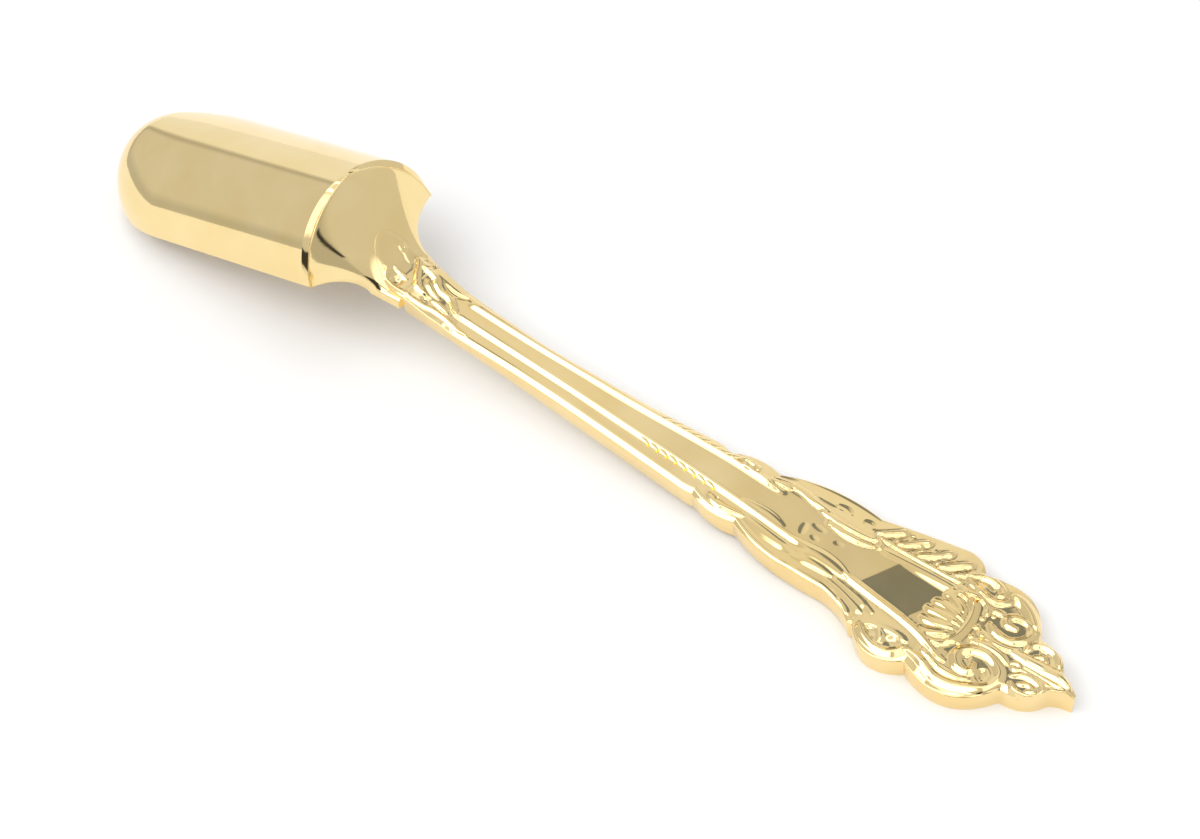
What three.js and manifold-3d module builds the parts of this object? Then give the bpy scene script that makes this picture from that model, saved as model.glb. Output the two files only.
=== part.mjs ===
// Sugar scoop of gold-plated metal, lying on its open side: a half-round stamped bowl,
// a stamped heel that closes the bowl and reaches back as a tongue, and a cast handle with
// scrollwork whose neck laps over that tongue. Two brazed seams hold the three together.
// Millimetres, +Z up. +X runs from the bowl to the handle's tip, the table is at z = 0.
import * as THREE from 'three';
import { mergeVertices } from 'three/addons/utils/BufferGeometryUtils.js';
import Module from 'manifold-3d';

const wasm = await Module();
wasm.setup();

// Bowl
const bowlLength = 42.9;
const bowlHalfWidth = 9.5;
const bowlFlare = 0.024;
const bowlHeight = 8.6;
const bowlHeightTaper = 0.011;
const bowlWall = 0.9;
const bowlTilt = THREE.MathUtils.degToRad(14);
const noseLength = 15.2;
const noseDrop = 7.4;
const bevelWidth = 0.7;
const bevelDepth = 0.45;

// Heel and its tongue
const heelLength = 7.05;
const heelThickness = 1.35;
const heelFullness = 0.6;
const heelFullnessSpread = 0.4;
const tongueHalfWidth = 3.3;
const tongueFlare = 0.22;
const tongueBottom = 6.45;
const tongueSlope = 0.26;
const tongueSquareness = 0.6;
const tongueTopRound = 0.3;
const sideFilletEnd = 3.7;
const topFilletEnd = 1.3;
const filletEndRise = 1.5;

// Brazed seams
const seamGap = 0.3;
const seamClearance = 0.05;

// Handle body
const handleLength = 81.4;
const flatEnd = 15.4;
const neckRise = 5.6;
const archPower = 1.8;
const neckEdge = 1.6;
const stemEdge = 2.45;
const edgeTaperLength = 25;
const neckHalfWidth = 3.05;
const stemHalfWidth = 2.6;
const capLength = 5.4;
const capEdge = 0.35;
const capRoundness = 2.5;
const neckBlend = 6;
const wallDraft = 0.12;
const tipHalfWidth = 0.2;

// Crown of the handle's face, rim along its edge, and the leaf that ends at the tip
const crownHeight = 1.0;
const crownFlat = 0.3;
const crownFoot = 0.95;
const crownFade = 3;
const rimHeight = 0.22;
const rimHalfWidth = 0.45;
const tipLeafHeight = 0.75;
const tipLeafHalfWidth = 1.1;
const tipLeafRoot = 10;
const tipLeafFull = 6;
const tipLeafFade = 2.5;

// Long hollow panel between two beads, closed by a round cartouche; lengths are from the tip
const beadHeight = 0.3;
const beadHalfWidth = 0.4;
const panelHollow = 0.3;
const panelNeckGap = 5;
const panelStemHalf = 1.1;
const panelWideHalf = 2.1;
const panelSpreadFrom = 52;
const panelSpreadTo = 28;
const cartoucheSwell = 0.75;
const cartoucheFrom = 26;
const cartoucheFull = 20;
const cartoucheEnd = 14.3;
const cartoucheRound = 4.2;

// The edge of the handle, from the neck to the tip, as a chain of bowed stretches.
// Each entry ends a stretch: distance from the tip, half width there, bow to the outside.
const stemEnd = { fromTip: 66, half: stemHalfWidth, bow: -0.05 };
const sharedTip = [
  { fromTip: 5.75, half: 3.6, bow: 2.1 },
  { fromTip: 2.05, half: 1.25, bow: 0.75 },
  { fromTip: 0, half: tipHalfWidth, bow: -0.06 },
];
const rightShoulder = [
  { fromTip: 43.6, half: 3.0, bow: -0.1 },
  { fromTip: 41.9, half: 2.85, bow: 0.08 },
  { fromTip: 36.5, half: 3.1, bow: 0.5 },
  { fromTip: 29.5, half: 4.4, bow: 0.35 },
  { fromTip: 25.3, half: 4.25, bow: 0.06 },
  { fromTip: 20.9, half: 5.9, bow: -0.35 },
  { fromTip: 20.5, half: 5.8, bow: 0 },
  { fromTip: 14.3, half: 6.35, bow: 1.55 },
];
const leftShoulder = [
  { fromTip: 43.8, half: 4.15, bow: -0.25 },
  { fromTip: 42, half: 3.85, bow: 0.1 },
  { fromTip: 36.4, half: 4.75, bow: 0.65 },
  { fromTip: 25.2, half: 6.4, bow: 0.9 },
  { fromTip: 16.2, half: 8.4, bow: 0.12 },
  { fromTip: 13.6, half: 6.8, bow: 0.4 },
];

// Dished scroll lobes: distance from the tip, offset from the middle, half sizes, turn in degrees.
const dishDepth = 0.5;
const dishRim = 0.4;
const dishRimPlace = 0.85;
const dishRimSpread = 0.4;
const dishHollowSpread = 0.7;
const dishes = [
  { fromTip: 17.4, across: -5.5, along: 2.9, wide: 1.9, turn: 8 },
  { fromTip: 10, across: -4.9, along: 4.0, wide: 1.9, turn: -16 },
  { fromTip: 10, across: 4.9, along: 4.0, wide: 1.9, turn: 16 },
  { fromTip: 4, across: -2.05, along: 1.5, wide: 1.2, turn: -30 },
  { fromTip: 4, across: 2.05, along: 1.5, wide: 1.2, turn: 30 },
];

// Raised leaves and petals: root and end, each as distance from the tip and offset from the middle.
// The neck petals count their distance from the neck step instead.
const leafRootShare = 0.15;
const leafEndShare = 0.95;
const leafLeastBody = 0.15;
const leaves = [
  { root: [26.5, 4.2], end: [21.5, 6.3], wide: 0.95, high: 0.5 },
  { root: [23.8, 4.2], end: [18.6, 7.1], wide: 0.95, high: 0.5 },
  { root: [21, 4.2], end: [15.8, 7.4], wide: 0.95, high: 0.5 },
  { root: [36, -2.4], end: [25, -3.2], wide: 0.8, high: 0.35 },
  { root: [36, 3.1], end: [25, 4.6], wide: 0.95, high: 0.4 },
  { root: [11.2, 0], end: [14.8, 0], wide: 0.9, high: 0.5 },
  { root: [11.2, 0.7], end: [14.4, 2.0], wide: 0.85, high: 0.45 },
  { root: [11.2, -0.7], end: [14.4, -2.0], wide: 0.85, high: 0.45 },
];
const neckPetals = [
  { root: [1.5, 0], end: [-4.6, 0], wide: 1.0, high: 0.75 },
  { root: [2.5, 0.9], end: [-2.6, 2.0], wide: 0.9, high: 0.6 },
  { root: [2.5, -0.9], end: [-2.6, -2.0], wide: 0.9, high: 0.6 },
  { root: [6.5, 0.5], end: [2.2, 1.7], wide: 0.8, high: 0.4 },
  { root: [6.5, -0.5], end: [2.2, -1.7], wide: 0.8, high: 0.4 },
];
const scallopBosses = [
  { fromTip: 38.9, across: -2.1, radius: 0.95, high: 0.4 },
  { fromTip: 38.9, across: 3.3, radius: 0.95, high: 0.4 },
];

// Mesh fineness; the rows along the handle stand closest where the carving is
const archSteps = 24;
const noseSteps = 10;
const barrelSteps = 4;
const filletSteps = 8;
const acrossSteps = 32;
const boundaryPoints = 12;
const rowStretches = [
  { endFromTip: 73.4, pitch: 0.62 },
  { endFromTip: 45, pitch: 1.9 },
  { endFromTip: 35, pitch: 0.6 },
  { endFromTip: 24, pitch: 0.8 },
  { endFromTip: 0, pitch: 0.46 },
];

const clamp01 = (value) => Math.min(1, Math.max(0, value));
const smooth = (from, to, value) => THREE.MathUtils.smoothstep(value, from, to);
const hill = (distance) => (distance < 1 ? 0.5 + 0.5 * Math.cos(Math.PI * distance) : 0);
const range = (count, make) => Array.from({ length: count }, (_, index) => make(index));

// A closed solid from rows of points: neighbouring rows are joined, the first and last are capped.
function loft(rows, capTriangles) {
  const size = rows[0].length;
  const positions = rows.flat().flatMap((point) => point.toArray());
  const triangles = [];
  for (let row = 0; row + 1 < rows.length; row += 1) {
    for (let step = 0; step < size; step += 1) {
      const a = row * size + step;
      const b = row * size + ((step + 1) % size);
      triangles.push([a, b, b + size], [a, b + size, a + size]);
    }
  }
  const last = (rows.length - 1) * size;
  capTriangles(rows[0]).forEach(([a, b, c]) => triangles.push([a, c, b]));
  capTriangles(rows.at(-1)).forEach(([a, b, c]) => triangles.push([a + last, b + last, c + last]));
  const loose = new THREE.BufferGeometry();
  loose.setAttribute('position', new THREE.Float32BufferAttribute(positions, 3));
  loose.setIndex(triangles.flat());
  const merged = mergeVertices(loose, 1e-4);
  const index = Array.from(merged.index.array);
  const kept = range(index.length / 3, (face) => index.slice(3 * face, 3 * face + 3));
  merged.setIndex(kept.filter(([a, b, c]) => a !== b && b !== c && c !== a).flat());
  return merged;
}

// Caps a row whose second half runs back beside its first half.
function ribbonCap(row) {
  const last = row.length - 1;
  const half = row.length / 2;
  return range(half - 1, (i) => [[i, i + 1, last - i - 1], [i, last - i - 1, last - i]]).flat();
}

// Caps a row that lies across the X axis.
function sectionCap(row) {
  const outline = row.map((point) => new THREE.Vector2(point.y, point.z));
  return THREE.ShapeUtils.triangulateShape(outline, []);
}

function toSolid(geometry) {
  const vertProperties = new Float32Array(geometry.attributes.position.array);
  const triVerts = new Uint32Array(geometry.index.array);
  return new wasm.Manifold(new wasm.Mesh({ numProp: 3, vertProperties, triVerts }));
}

function fromSolid(solid) {
  const mesh = solid.getMesh();
  const geometry = new THREE.BufferGeometry();
  geometry.setAttribute('position', new THREE.BufferAttribute(mesh.vertProperties, 3));
  geometry.setIndex(new THREE.BufferAttribute(mesh.triVerts, 1));
  return geometry;
}

// Bowl: an arch that widens a little towards the lip, swept along an axis that dips to the table.
const bowlAxis = new THREE.Vector3(-Math.cos(bowlTilt), 0, -Math.sin(bowlTilt));
const bowlUp = new THREE.Vector3(-Math.sin(bowlTilt), 0, Math.cos(bowlTilt));
const heelCentre = new THREE.Vector3(-heelLength, 0, bowlLength * Math.sin(bowlTilt));
const archAngles = range(archSteps + 1, (i) => (Math.PI * i) / archSteps);

function roundedEnd(along, length, roundLength) {
  const past = clamp01((along - (length - roundLength)) / roundLength);
  return Math.sqrt(1 - past * past);
}

function bowlPoint(along, angle, inset) {
  const length = bowlLength - inset;
  const flared = bowlHalfWidth - inset + bowlFlare * along;
  const lowered = bowlHeight - inset - bowlHeightTaper * along;
  const half = flared * roundedEnd(along, length, noseLength - inset);
  const high = lowered * roundedEnd(along, length, noseDrop - inset);
  return heelCentre.clone()
    .addScaledVector(bowlAxis, along)
    .addScaledVector(bowlUp, high * Math.sin(angle))
    .add(new THREE.Vector3(0, -half * Math.cos(angle), 0));
}

// The bevel on the bowl's back edge: widest half way up each side, nothing at rim and crown.
const bevelShare = (angle) => Math.sin(2 * angle) ** 2;

function bowlGeometry() {
  const straight = bowlLength - noseLength;
  const barrel = range(barrelSteps, (i) => (straight * (i + 1)) / barrelSteps / bowlLength);
  const nose = range(noseSteps, (i) => {
    const turn = (Math.PI / 2) * ((i + 1) / noseSteps);
    return (straight + noseLength * Math.sin(turn)) / bowlLength;
  });
  const backRow = [
    ...archAngles.map((angle) => bowlPoint(0, angle, bevelWidth * bevelShare(angle))),
    ...archAngles.map((angle) => bowlPoint(0, angle, bowlWall)).reverse(),
  ];
  const bevelRow = [
    ...archAngles.map((angle) => bowlPoint(bevelDepth, angle, 0)),
    ...archAngles.map((angle) => bowlPoint(bevelDepth, angle, bowlWall)).reverse(),
  ];
  const rows = [...barrel, ...nose].map((share) => [
    ...archAngles.map((angle) => bowlPoint(share * bowlLength, angle, 0)),
    ...archAngles.map((angle) => bowlPoint(share * (bowlLength - bowlWall), angle, bowlWall)).reverse(),
  ]);
  return loft([backRow, bevelRow, ...rows], ribbonCap);
}

// Heel: the arch of the bowl's end draws in through a hollow fillet to the flat tongue.
const plugInset = bowlWall + seamGap;
const plugHalfWidth = bowlHalfWidth - plugInset;
const plugHeight = bowlHeight - plugInset;
const tongueFloor = (x) => tongueBottom - tongueSlope * x;
const filletEnd = (angle) => {
  const share = Math.sin(angle) ** filletEndRise;
  return THREE.MathUtils.lerp(-sideFilletEnd, -topFilletEnd, share);
};
const tongueSide = (angle) => {
  const across = -Math.cos(angle);
  return Math.sign(across) * Math.abs(across) ** tongueSquareness;
};
const tongueTop = (angle) => Math.max(0, Math.sin(angle)) ** tongueTopRound;

// One point of the heel. turn goes from 0 at the bowl to a quarter turn at the tongue,
// grow moves the upper face outwards, and depth is how far under that face the point lies.
function heelPoint(angle, turn, x, grow, depth) {
  const fullness = heelFullness * Math.max(0, Math.sin(angle)) ** heelFullnessSpread;
  const drawIn = Math.sin(turn) ** (1 + fullness);
  const advance = 1 - Math.cos(turn);
  const archX = heelCentre.x - plugHeight * Math.sin(angle) * Math.sin(bowlTilt);
  const archHigh = plugHeight * Math.sin(angle) * Math.cos(bowlTilt);
  const endHalf = tongueHalfWidth - tongueFlare * x + grow - (depth > 0 ? seamClearance : 0);
  const endHigh = depth > 0 ? heelThickness - depth : (heelThickness + grow) * tongueTop(angle);
  const outward = (depth > 0 ? -depth : grow) * Math.cos(turn);
  const floor = THREE.MathUtils.lerp(heelCentre.z, tongueFloor(x), advance);
  return new THREE.Vector3(
    THREE.MathUtils.lerp(archX, x, advance),
    THREE.MathUtils.lerp(-plugHalfWidth * Math.cos(angle), endHalf * tongueSide(angle), drawIn),
    floor + THREE.MathUtils.lerp(archHigh, endHigh, drawIn),
  ).addScaledVector(bowlAxis, -outward);
}

function heelGeometry(grow, thickness) {
  const row = (turn, xAt) => [
    ...archAngles.map((angle) => heelPoint(angle, turn, xAt(angle), grow, 0)),
    ...archAngles.map((angle) => heelPoint(angle, turn, xAt(angle), grow, thickness)).reverse(),
  ];
  const fillet = range(filletSteps + 1, (i) => row((Math.PI / 2) * (i / filletSteps), filletEnd));
  const tongueEnd = row(Math.PI / 2, () => grow - seamGap);
  return loft([...fillet, tongueEnd].reverse(), ribbonCap);
}

// Heel seam: filler between the bowl's wall and the heel's edge, flush with the bowl's back end.
function heelSeamGeometry() {
  const inner = plugInset - seamClearance;
  const outer = bowlWall + seamClearance;
  const rows = [0, heelThickness].map((depth) => [
    ...archAngles.map((angle) => bowlPoint(depth, angle, outer)),
    ...archAngles.map((angle) => bowlPoint(depth, angle, inner)).reverse(),
  ]);
  return loft(rows, ribbonCap);
}

// Handle outline: each bowed stretch is a quadratic curve between two ends.
function edgeCurve(chain) {
  const path = new THREE.CurvePath();
  let from = new THREE.Vector2(0, neckHalfWidth);
  chain.forEach(({ fromTip, half, bow }) => {
    const to = new THREE.Vector2(handleLength - fromTip, half);
    const outward = new THREE.Vector2(from.y - to.y, to.x - from.x).normalize();
    const control = from.clone().lerp(to, 0.5).addScaledVector(outward, 2 * bow);
    path.add(new THREE.QuadraticBezierCurve(from, control, to));
    from = to;
  });
  return path.curves.flatMap((curve) => curve.getPoints(boundaryPoints));
}

const rightEdge = edgeCurve([stemEnd, ...rightShoulder, ...sharedTip]);
const leftEdge = edgeCurve([stemEnd, ...leftShoulder, ...sharedTip]);

function halfWidthAt(edge, x) {
  if (x <= 0) {
    return neckHalfWidth * Math.sqrt(1 - clamp01(-x / capLength) ** capRoundness);
  }
  const next = Math.max(1, edge.findIndex((point) => point.x >= x));
  const a = edge[next - 1];
  const b = edge[next];
  return THREE.MathUtils.mapLinear(x, a.x, Math.max(b.x, a.x + 1e-6), a.y, b.y);
}

const archEnd = handleLength - flatEnd;
const undersideAt = (x) => neckRise * clamp01((archEnd - x) / archEnd) ** archPower;
const edgeHeightAt = (x) => THREE.MathUtils.lerp(neckEdge, stemEdge, smooth(0, edgeTaperLength, x));
const capTopAt = (x) => tongueFloor(x) + heelThickness + capEdge;

// Top of the handle's edge: the cap over the tongue runs down to the stem.
function edgeTopAt(x) {
  if (x < 0) {
    return capTopAt(x);
  }
  const stem = undersideAt(x) + edgeHeightAt(x);
  return THREE.MathUtils.lerp(capTopAt(x), stem, smooth(0, neckBlend, x));
}

// Half the width of the long hollow panel, from the neck to the round end of the cartouche.
function panelHalfWidth(fromTip) {
  const spread = 1 - smooth(panelSpreadTo, panelSpreadFrom, fromTip);
  const stem = THREE.MathUtils.lerp(panelStemHalf, panelWideHalf, spread);
  const cartouche = cartoucheSwell * (1 - smooth(cartoucheFull, cartoucheFrom, fromTip));
  const past = clamp01((cartoucheEnd + cartoucheRound - fromTip) / cartoucheRound);
  return (stem + cartouche) * Math.sqrt(1 - past ** 2);
}

function panelRelief(x, fromTip, side) {
  if (x < panelNeckGap || fromTip <= cartoucheEnd) {
    return 0;
  }
  const panel = panelHalfWidth(fromTip);
  const bead = beadHeight * hill(Math.abs(side - panel) / beadHalfWidth);
  const hollow = panelHollow * Math.max(0, 1 - (side / panel) ** 2);
  return bead - hollow;
}

function leafHeight(leaf, along, across) {
  const root = new THREE.Vector2(...leaf.root);
  const span = new THREE.Vector2(...leaf.end).sub(root);
  const offset = new THREE.Vector2(along, across).sub(root);
  const share = clamp01(offset.dot(span) / span.lengthSq());
  const away = offset.addScaledVector(span, -share).length();
  const body = Math.sin(Math.PI * THREE.MathUtils.lerp(leafRootShare, leafEndShare, share));
  return leaf.high * hill(away / (leaf.wide * Math.sqrt(Math.max(leafLeastBody, body))));
}

function dishHeight(dish, fromTip, across) {
  const offset = new THREE.Vector2(dish.fromTip - fromTip, across - dish.across);
  offset.rotateAround(new THREE.Vector2(), THREE.MathUtils.degToRad(dish.turn));
  const radius = Math.hypot(offset.x / dish.along, offset.y / dish.wide);
  const rim = dishRim * hill(Math.abs(radius - dishRimPlace) / dishRimSpread);
  return rim - dishDepth * hill(radius / dishHollowSpread);
}

function bossHeight(boss, fromTip, across) {
  const away = Math.hypot(fromTip - boss.fromTip, across - boss.across);
  return boss.high * hill(away / boss.radius);
}

// Height of the carved face over the edge of the handle.
function reliefAt(x, across, half) {
  const fromTip = handleLength - x;
  const side = Math.abs(across);
  const crown = crownHeight * smooth(0, crownFade, fromTip);
  const flank = 1 - smooth(crownFlat, crownFoot, side / half);
  const rim = rimHeight * hill((half - side) / rimHalfWidth);
  const tipLength = (1 - smooth(tipLeafFull, tipLeafRoot, fromTip)) * smooth(0, tipLeafFade, fromTip);
  const raised = Math.max(
    tipLeafHeight * hill(side / tipLeafHalfWidth) * tipLength,
    ...leaves.map((leaf) => leafHeight(leaf, fromTip, across)),
    ...neckPetals.map((petal) => leafHeight(petal, x, across)),
    ...scallopBosses.map((boss) => bossHeight(boss, fromTip, across)),
  );
  const scrolls = dishes.reduce((sum, dish) => sum + dishHeight(dish, fromTip, across), 0);
  return crown * flank + rim + panelRelief(x, fromTip, side) + scrolls + raised;
}

function handleStations() {
  let from = -capLength;
  const stations = rowStretches.flatMap(({ endFromTip, pitch }) => {
    const start = from;
    const length = handleLength - endFromTip - start;
    const count = Math.ceil(length / pitch);
    from = start + length;
    return range(count, (i) => start + (length * i) / count);
  });
  return [...stations, handleLength];
}

// Under the cap the blank reaches down past the tongue, which is then cut out of it.
function handleRow(x) {
  const left = Math.max(tipHalfWidth, halfWidthAt(leftEdge, x));
  const right = Math.max(tipHalfWidth, halfWidthAt(rightEdge, x));
  const bottom = undersideAt(Math.max(0, x));
  const edge = edgeTopAt(x);
  const top = range(acrossSteps + 1, (i) => {
    const across = THREE.MathUtils.lerp(-right, left, i / acrossSteps);
    const half = across < 0 ? right : left;
    return new THREE.Vector3(x, across, edge + reliefAt(x, across, half));
  });
  const base = [left - wallDraft, 0, wallDraft - right].map((y) => new THREE.Vector3(x, y, bottom));
  return [...base.reverse(), ...top.reverse()];
}

const handleBlank = toSolid(loft(handleStations().map(handleRow), sectionCap));
const heelOutside = (grow, thickness) => toSolid(heelGeometry(grow, thickness));
const cutThickness = heelThickness + capLength;

// Neck seam: a film of filler between the tongue and the handle's cap.
const neckSeam = handleBlank
  .intersect(heelOutside(seamGap - seamClearance, heelThickness))
  .subtract(heelOutside(seamClearance, cutThickness));

const plating = { color: '#d9bf83', metalness: 1, roughness: 0.16 };
const filler = { color: '#d3b878', metalness: 1, roughness: 0.3 };

function namedMesh(name, geometry, finish) {
  const mesh = new THREE.Mesh(geometry, new THREE.MeshStandardMaterial(finish));
  mesh.name = name;
  geometry.computeVertexNormals();
  return mesh;
}

const scoop = new THREE.Group();
scoop.add(
  namedMesh('scoop_bowl', bowlGeometry(), plating),
  namedMesh('heel_plate', heelGeometry(0, heelThickness), plating),
  namedMesh('heel_braze', heelSeamGeometry(), filler),
  namedMesh('neck_braze', fromSolid(neckSeam), filler),
  namedMesh('handle', fromSolid(handleBlank.subtract(heelOutside(seamGap, cutThickness))), plating),
);

// The origin lies on the table under the middle of the scoop's length.
const reach = new THREE.Box3().setFromObject(scoop);
scoop.position.x = -(reach.min.x + reach.max.x) / 2;

export default scoop;
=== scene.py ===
"""Sugar scoop of gold-plated metal, lying on its open side on a white table.

The bowl is a shell that follows one rule and is made with Geometry Nodes, as are the brazed
seams, the row of leaf tips along the stem and the pellets. The heel and the cast handle are
mesh code: the handle's face is a height over its outline, raised and cut by carving strokes.
All sizes here are millimetres; meshes are made in metres.
"""
import math

import bmesh
import bpy
import numpy as np
from mathutils import Matrix, Vector
from mathutils.bvhtree import BVHTree


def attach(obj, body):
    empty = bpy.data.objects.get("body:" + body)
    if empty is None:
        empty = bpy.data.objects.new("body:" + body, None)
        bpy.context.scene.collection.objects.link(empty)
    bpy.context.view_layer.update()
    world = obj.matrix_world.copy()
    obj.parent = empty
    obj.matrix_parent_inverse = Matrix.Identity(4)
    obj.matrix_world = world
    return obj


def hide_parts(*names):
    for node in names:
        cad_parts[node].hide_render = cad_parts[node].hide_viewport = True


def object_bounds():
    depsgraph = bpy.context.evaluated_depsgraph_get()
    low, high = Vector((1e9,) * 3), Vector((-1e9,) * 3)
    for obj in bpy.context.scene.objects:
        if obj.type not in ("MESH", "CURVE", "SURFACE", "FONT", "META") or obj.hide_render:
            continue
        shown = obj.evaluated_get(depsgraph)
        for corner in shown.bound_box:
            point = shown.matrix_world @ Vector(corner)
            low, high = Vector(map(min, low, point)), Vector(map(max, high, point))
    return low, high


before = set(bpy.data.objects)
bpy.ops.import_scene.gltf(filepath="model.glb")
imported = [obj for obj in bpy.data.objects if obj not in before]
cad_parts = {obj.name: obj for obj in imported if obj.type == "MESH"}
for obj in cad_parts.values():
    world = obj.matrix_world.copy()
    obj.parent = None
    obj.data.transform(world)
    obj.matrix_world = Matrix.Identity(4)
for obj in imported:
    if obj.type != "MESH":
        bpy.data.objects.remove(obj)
cad_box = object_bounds()

MM = 0.001

# Bowl
BOWL_LENGTH = 42.9
BOWL_HALF_WIDTH = 9.5
BOWL_FLARE = 0.024
BOWL_HEIGHT = 8.6
BOWL_HEIGHT_TAPER = 0.011
BOWL_WALL = 0.9
BOWL_TILT = math.radians(14)
NOSE_LENGTH = 15.2
NOSE_DROP = 7.4
BEVEL_WIDTH = 0.7
BEVEL_DEPTH = 0.45
BEVEL_RUN = 0.8
BOWL_RIM_ROUND = 0.2
# The bowl's skin is a bent grid. Its shares fall on the grid's lines, so that both sides weld.
BOWL_GRID = (251, 161)
OUTSIDE_SHARE = 0.46
BACK_FACE_SHARE = 0.00625
BACK_FACE_INSET = 0.62
NOSE_ROW_SPACING = 1.6
WELD_DISTANCE = 0.0005
SHEET_SHARP_EDGE = math.radians(38)

# Heel
HEEL_LENGTH = 7.05
HEEL_THICKNESS = 1.35
HEEL_FULLNESS = 0.8
HEEL_FULLNESS_SPREAD = 0.3
TONGUE_HALF_WIDTH = 3.3
TONGUE_FLARE = 0.22
TONGUE_BOTTOM = 6.45
TONGUE_SLOPE = 0.26
TONGUE_SQUARENESS = 0.6
TONGUE_TOP_ROUND = 0.3
SIDE_FILLET_END = 3.7
TOP_FILLET_END = 1.3
FILLET_END_RISE = 0.8
HEEL_LEAN = 0.25
HEEL_TOP_LEAN = 0.2
HEEL_LIP = 0.12
ARCH_STEPS, FILLET_STEPS, TONGUE_STEPS = 121, 65, 10
SEAM_GAP = 0.3
SEAM_CLEARANCE = 0.05
SEAM_PITCH = 0.18
SEAM_UNEVENNESS = 0.35
HEEL_SEAM_RADIUS = 0.06
NECK_SEAM_RADIUS = 0.05
NECK_SEAM_SINK = 0.06

# Handle
HANDLE_LENGTH = 81.4
FLAT_END = 15.4
NECK_RISE = 5.6
ARCH_POWER = 1.8
NECK_EDGE = 1.6
STEM_EDGE = 2.45
EDGE_TAPER_LENGTH = 25.0
NECK_HALF_WIDTH = 3.05
STEM_HALF_WIDTH = 2.6
CAP_LENGTH = 5.4
CAP_EDGE = 0.35
CAP_ROUNDNESS = 2.5
NECK_BLEND = 6.0
WALL_DRAFT = 0.38
WALL_CURVE = 1.5
TIP_HALF_WIDTH = 0.2
CROWN_HEIGHT = 0.62
NECK_CROWN_DROP = 0.3
NECK_CROWN_FADE = (-1.0, 8.0)
END_FLANK_DROP = 0.44
END_FLANK_CURVE = 1.4
CROWN_FADE = 1.0
FACE_STEPS, WALL_STEPS, BASE_STEPS = 117, 6, 5
EDGE_CROWDING = 0.25
# Stretches of the handle from the neck: start, end and pitch of the rows, closest where the carving is.
FACE_STRETCHES = [
    (-CAP_LENGTH, 9.0, 0.13), (9.0, 36.0, 0.3), (36.0, 46.4, 0.12), (46.4, 57.0, 0.16),
    (57.0, HANDLE_LENGTH, 0.105),
]
CAST_SHARP_EDGE = math.radians(75)
# Height from which points are dropped onto the heel.
ABOVE_ALL = 60.0

# The scoop's middle is the frame's origin: the handle's tip is at the box's highest x.
NECK_X = cad_box[1][0] / MM - HANDLE_LENGTH
HEEL_CENTRE = np.array([-HEEL_LENGTH, 0.0, BOWL_LENGTH * math.sin(BOWL_TILT)])
BOWL_AXIS = np.array([-math.cos(BOWL_TILT), 0.0, -math.sin(BOWL_TILT)])
BOWL_UP = np.array([-math.sin(BOWL_TILT), 0.0, math.cos(BOWL_TILT)])

# Edge of the handle from the neck to the tip: distance from the tip, half width, bow outwards.
STEM_END = (66.0, STEM_HALF_WIDTH, -0.05)
TIP_EDGE = [(5.75, 3.6, 2.1), (2.05, 1.25, 0.75), (0.0, TIP_HALF_WIDTH, -0.06)]
NEAR_EDGE = [
    (43.6, 3.0, -0.1), (41.9, 2.85, 0.08), (36.5, 3.1, 0.5), (29.5, 4.4, 0.35),
    (25.3, 4.25, 0.06), (20.9, 5.9, -0.35), (20.5, 5.8, 0.0), (14.3, 6.35, 1.55),
]
FAR_EDGE = [
    (43.8, 4.15, -0.25), (42.0, 3.85, 0.1), (36.4, 4.75, 0.65), (25.2, 6.4, 0.9),
    (16.2, 8.4, 0.12), (13.6, 6.8, 0.4),
]

# Beads beside the long panel: distance from the tip and offset of the crest from the middle.
FAR_BEAD = [
    (82.0, 1.5), (75.0, 1.55), (65.0, 1.65), (53.0, 2.15), (45.0, 2.7), (41.0, 2.85), (37.0, 2.8),
    (30.0, 2.6), (24.0, 2.6), (13.0, 2.8),
]
NEAR_BEAD = [
    (82.0, 0.45), (75.0, 0.45), (65.0, 0.45), (53.0, 0.47), (45.0, 0.53), (40.0, 0.66), (37.0, 0.78),
    (33.0, 1.05), (29.0, 1.25), (24.0, 1.6), (13.0, 2.9),
]
BEAD_START = 75.5
BEAD_END = 30.0
FAR_BEAD_END = 36.0
NEAR_BEAD_UPSTAND = 0.06
NEAR_BEAD_UPSTAND_RUN = 0.22
NEAR_BEAD_STEP = 0.3
NEAR_BEAD_STEP_RUN = 0.6
FAR_BEAD_RISE = 0.28
FAR_BEAD_RISE_RUN = 0.6
FAR_BEAD_STEP = 0.4
FAR_BEAD_STEP_RUN = 0.42
NEAR_FLANK_DROP = 0.12
FAR_FLANK_DROP = 0.45
RIM_UPSTAND = 0.07
RIM_UPSTAND_RUN = 0.26
RIM_STEP = 0.3
RIM_STEP_RUN = 0.55
RIM_END_SIZE, RIM_GAIN = 0.55, 0.45
LEAST_FLANK = 0.3
LEAST_ROOM = 0.4
PANEL_UNEVENNESS = 0.004
EDGE_ROUND = 0.1
CREST_ROUND = 0.32
GROUND_DEPTH = 0.22
CARTOUCHE_SLOPE = 0.035
CARTOUCHE_FOLD = 21.9
CARTOUCHE_FOLD_SLANT = 0.45
CARTOUCHE_LENGTH = 6.0
CARTOUCHE_SIDE_FADE = (-0.2, 0.25)
CARVING_EDGE_FADE = 0.35
CAP_SKIN = 0.02
CAP_SKIN_RUN = 0.9
CAP_EDGE_SINK = 0.015
CAP_CUT_SHARE = 0.3
CAP_CARVING_FADE = 0.3
CAP_BLEND = (-5.0, 0.4)
CAP_OVERLAP = 0.15
BESIDE_TONGUE_RISE = 0.4
# Painted shade in the recesses: how deep a recess is fully darkened, and how often the face is evened out to
# find it.
RECESS_SHADE_DEPTH = 0.16
RECESS_SHADE_PASSES = 14

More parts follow.
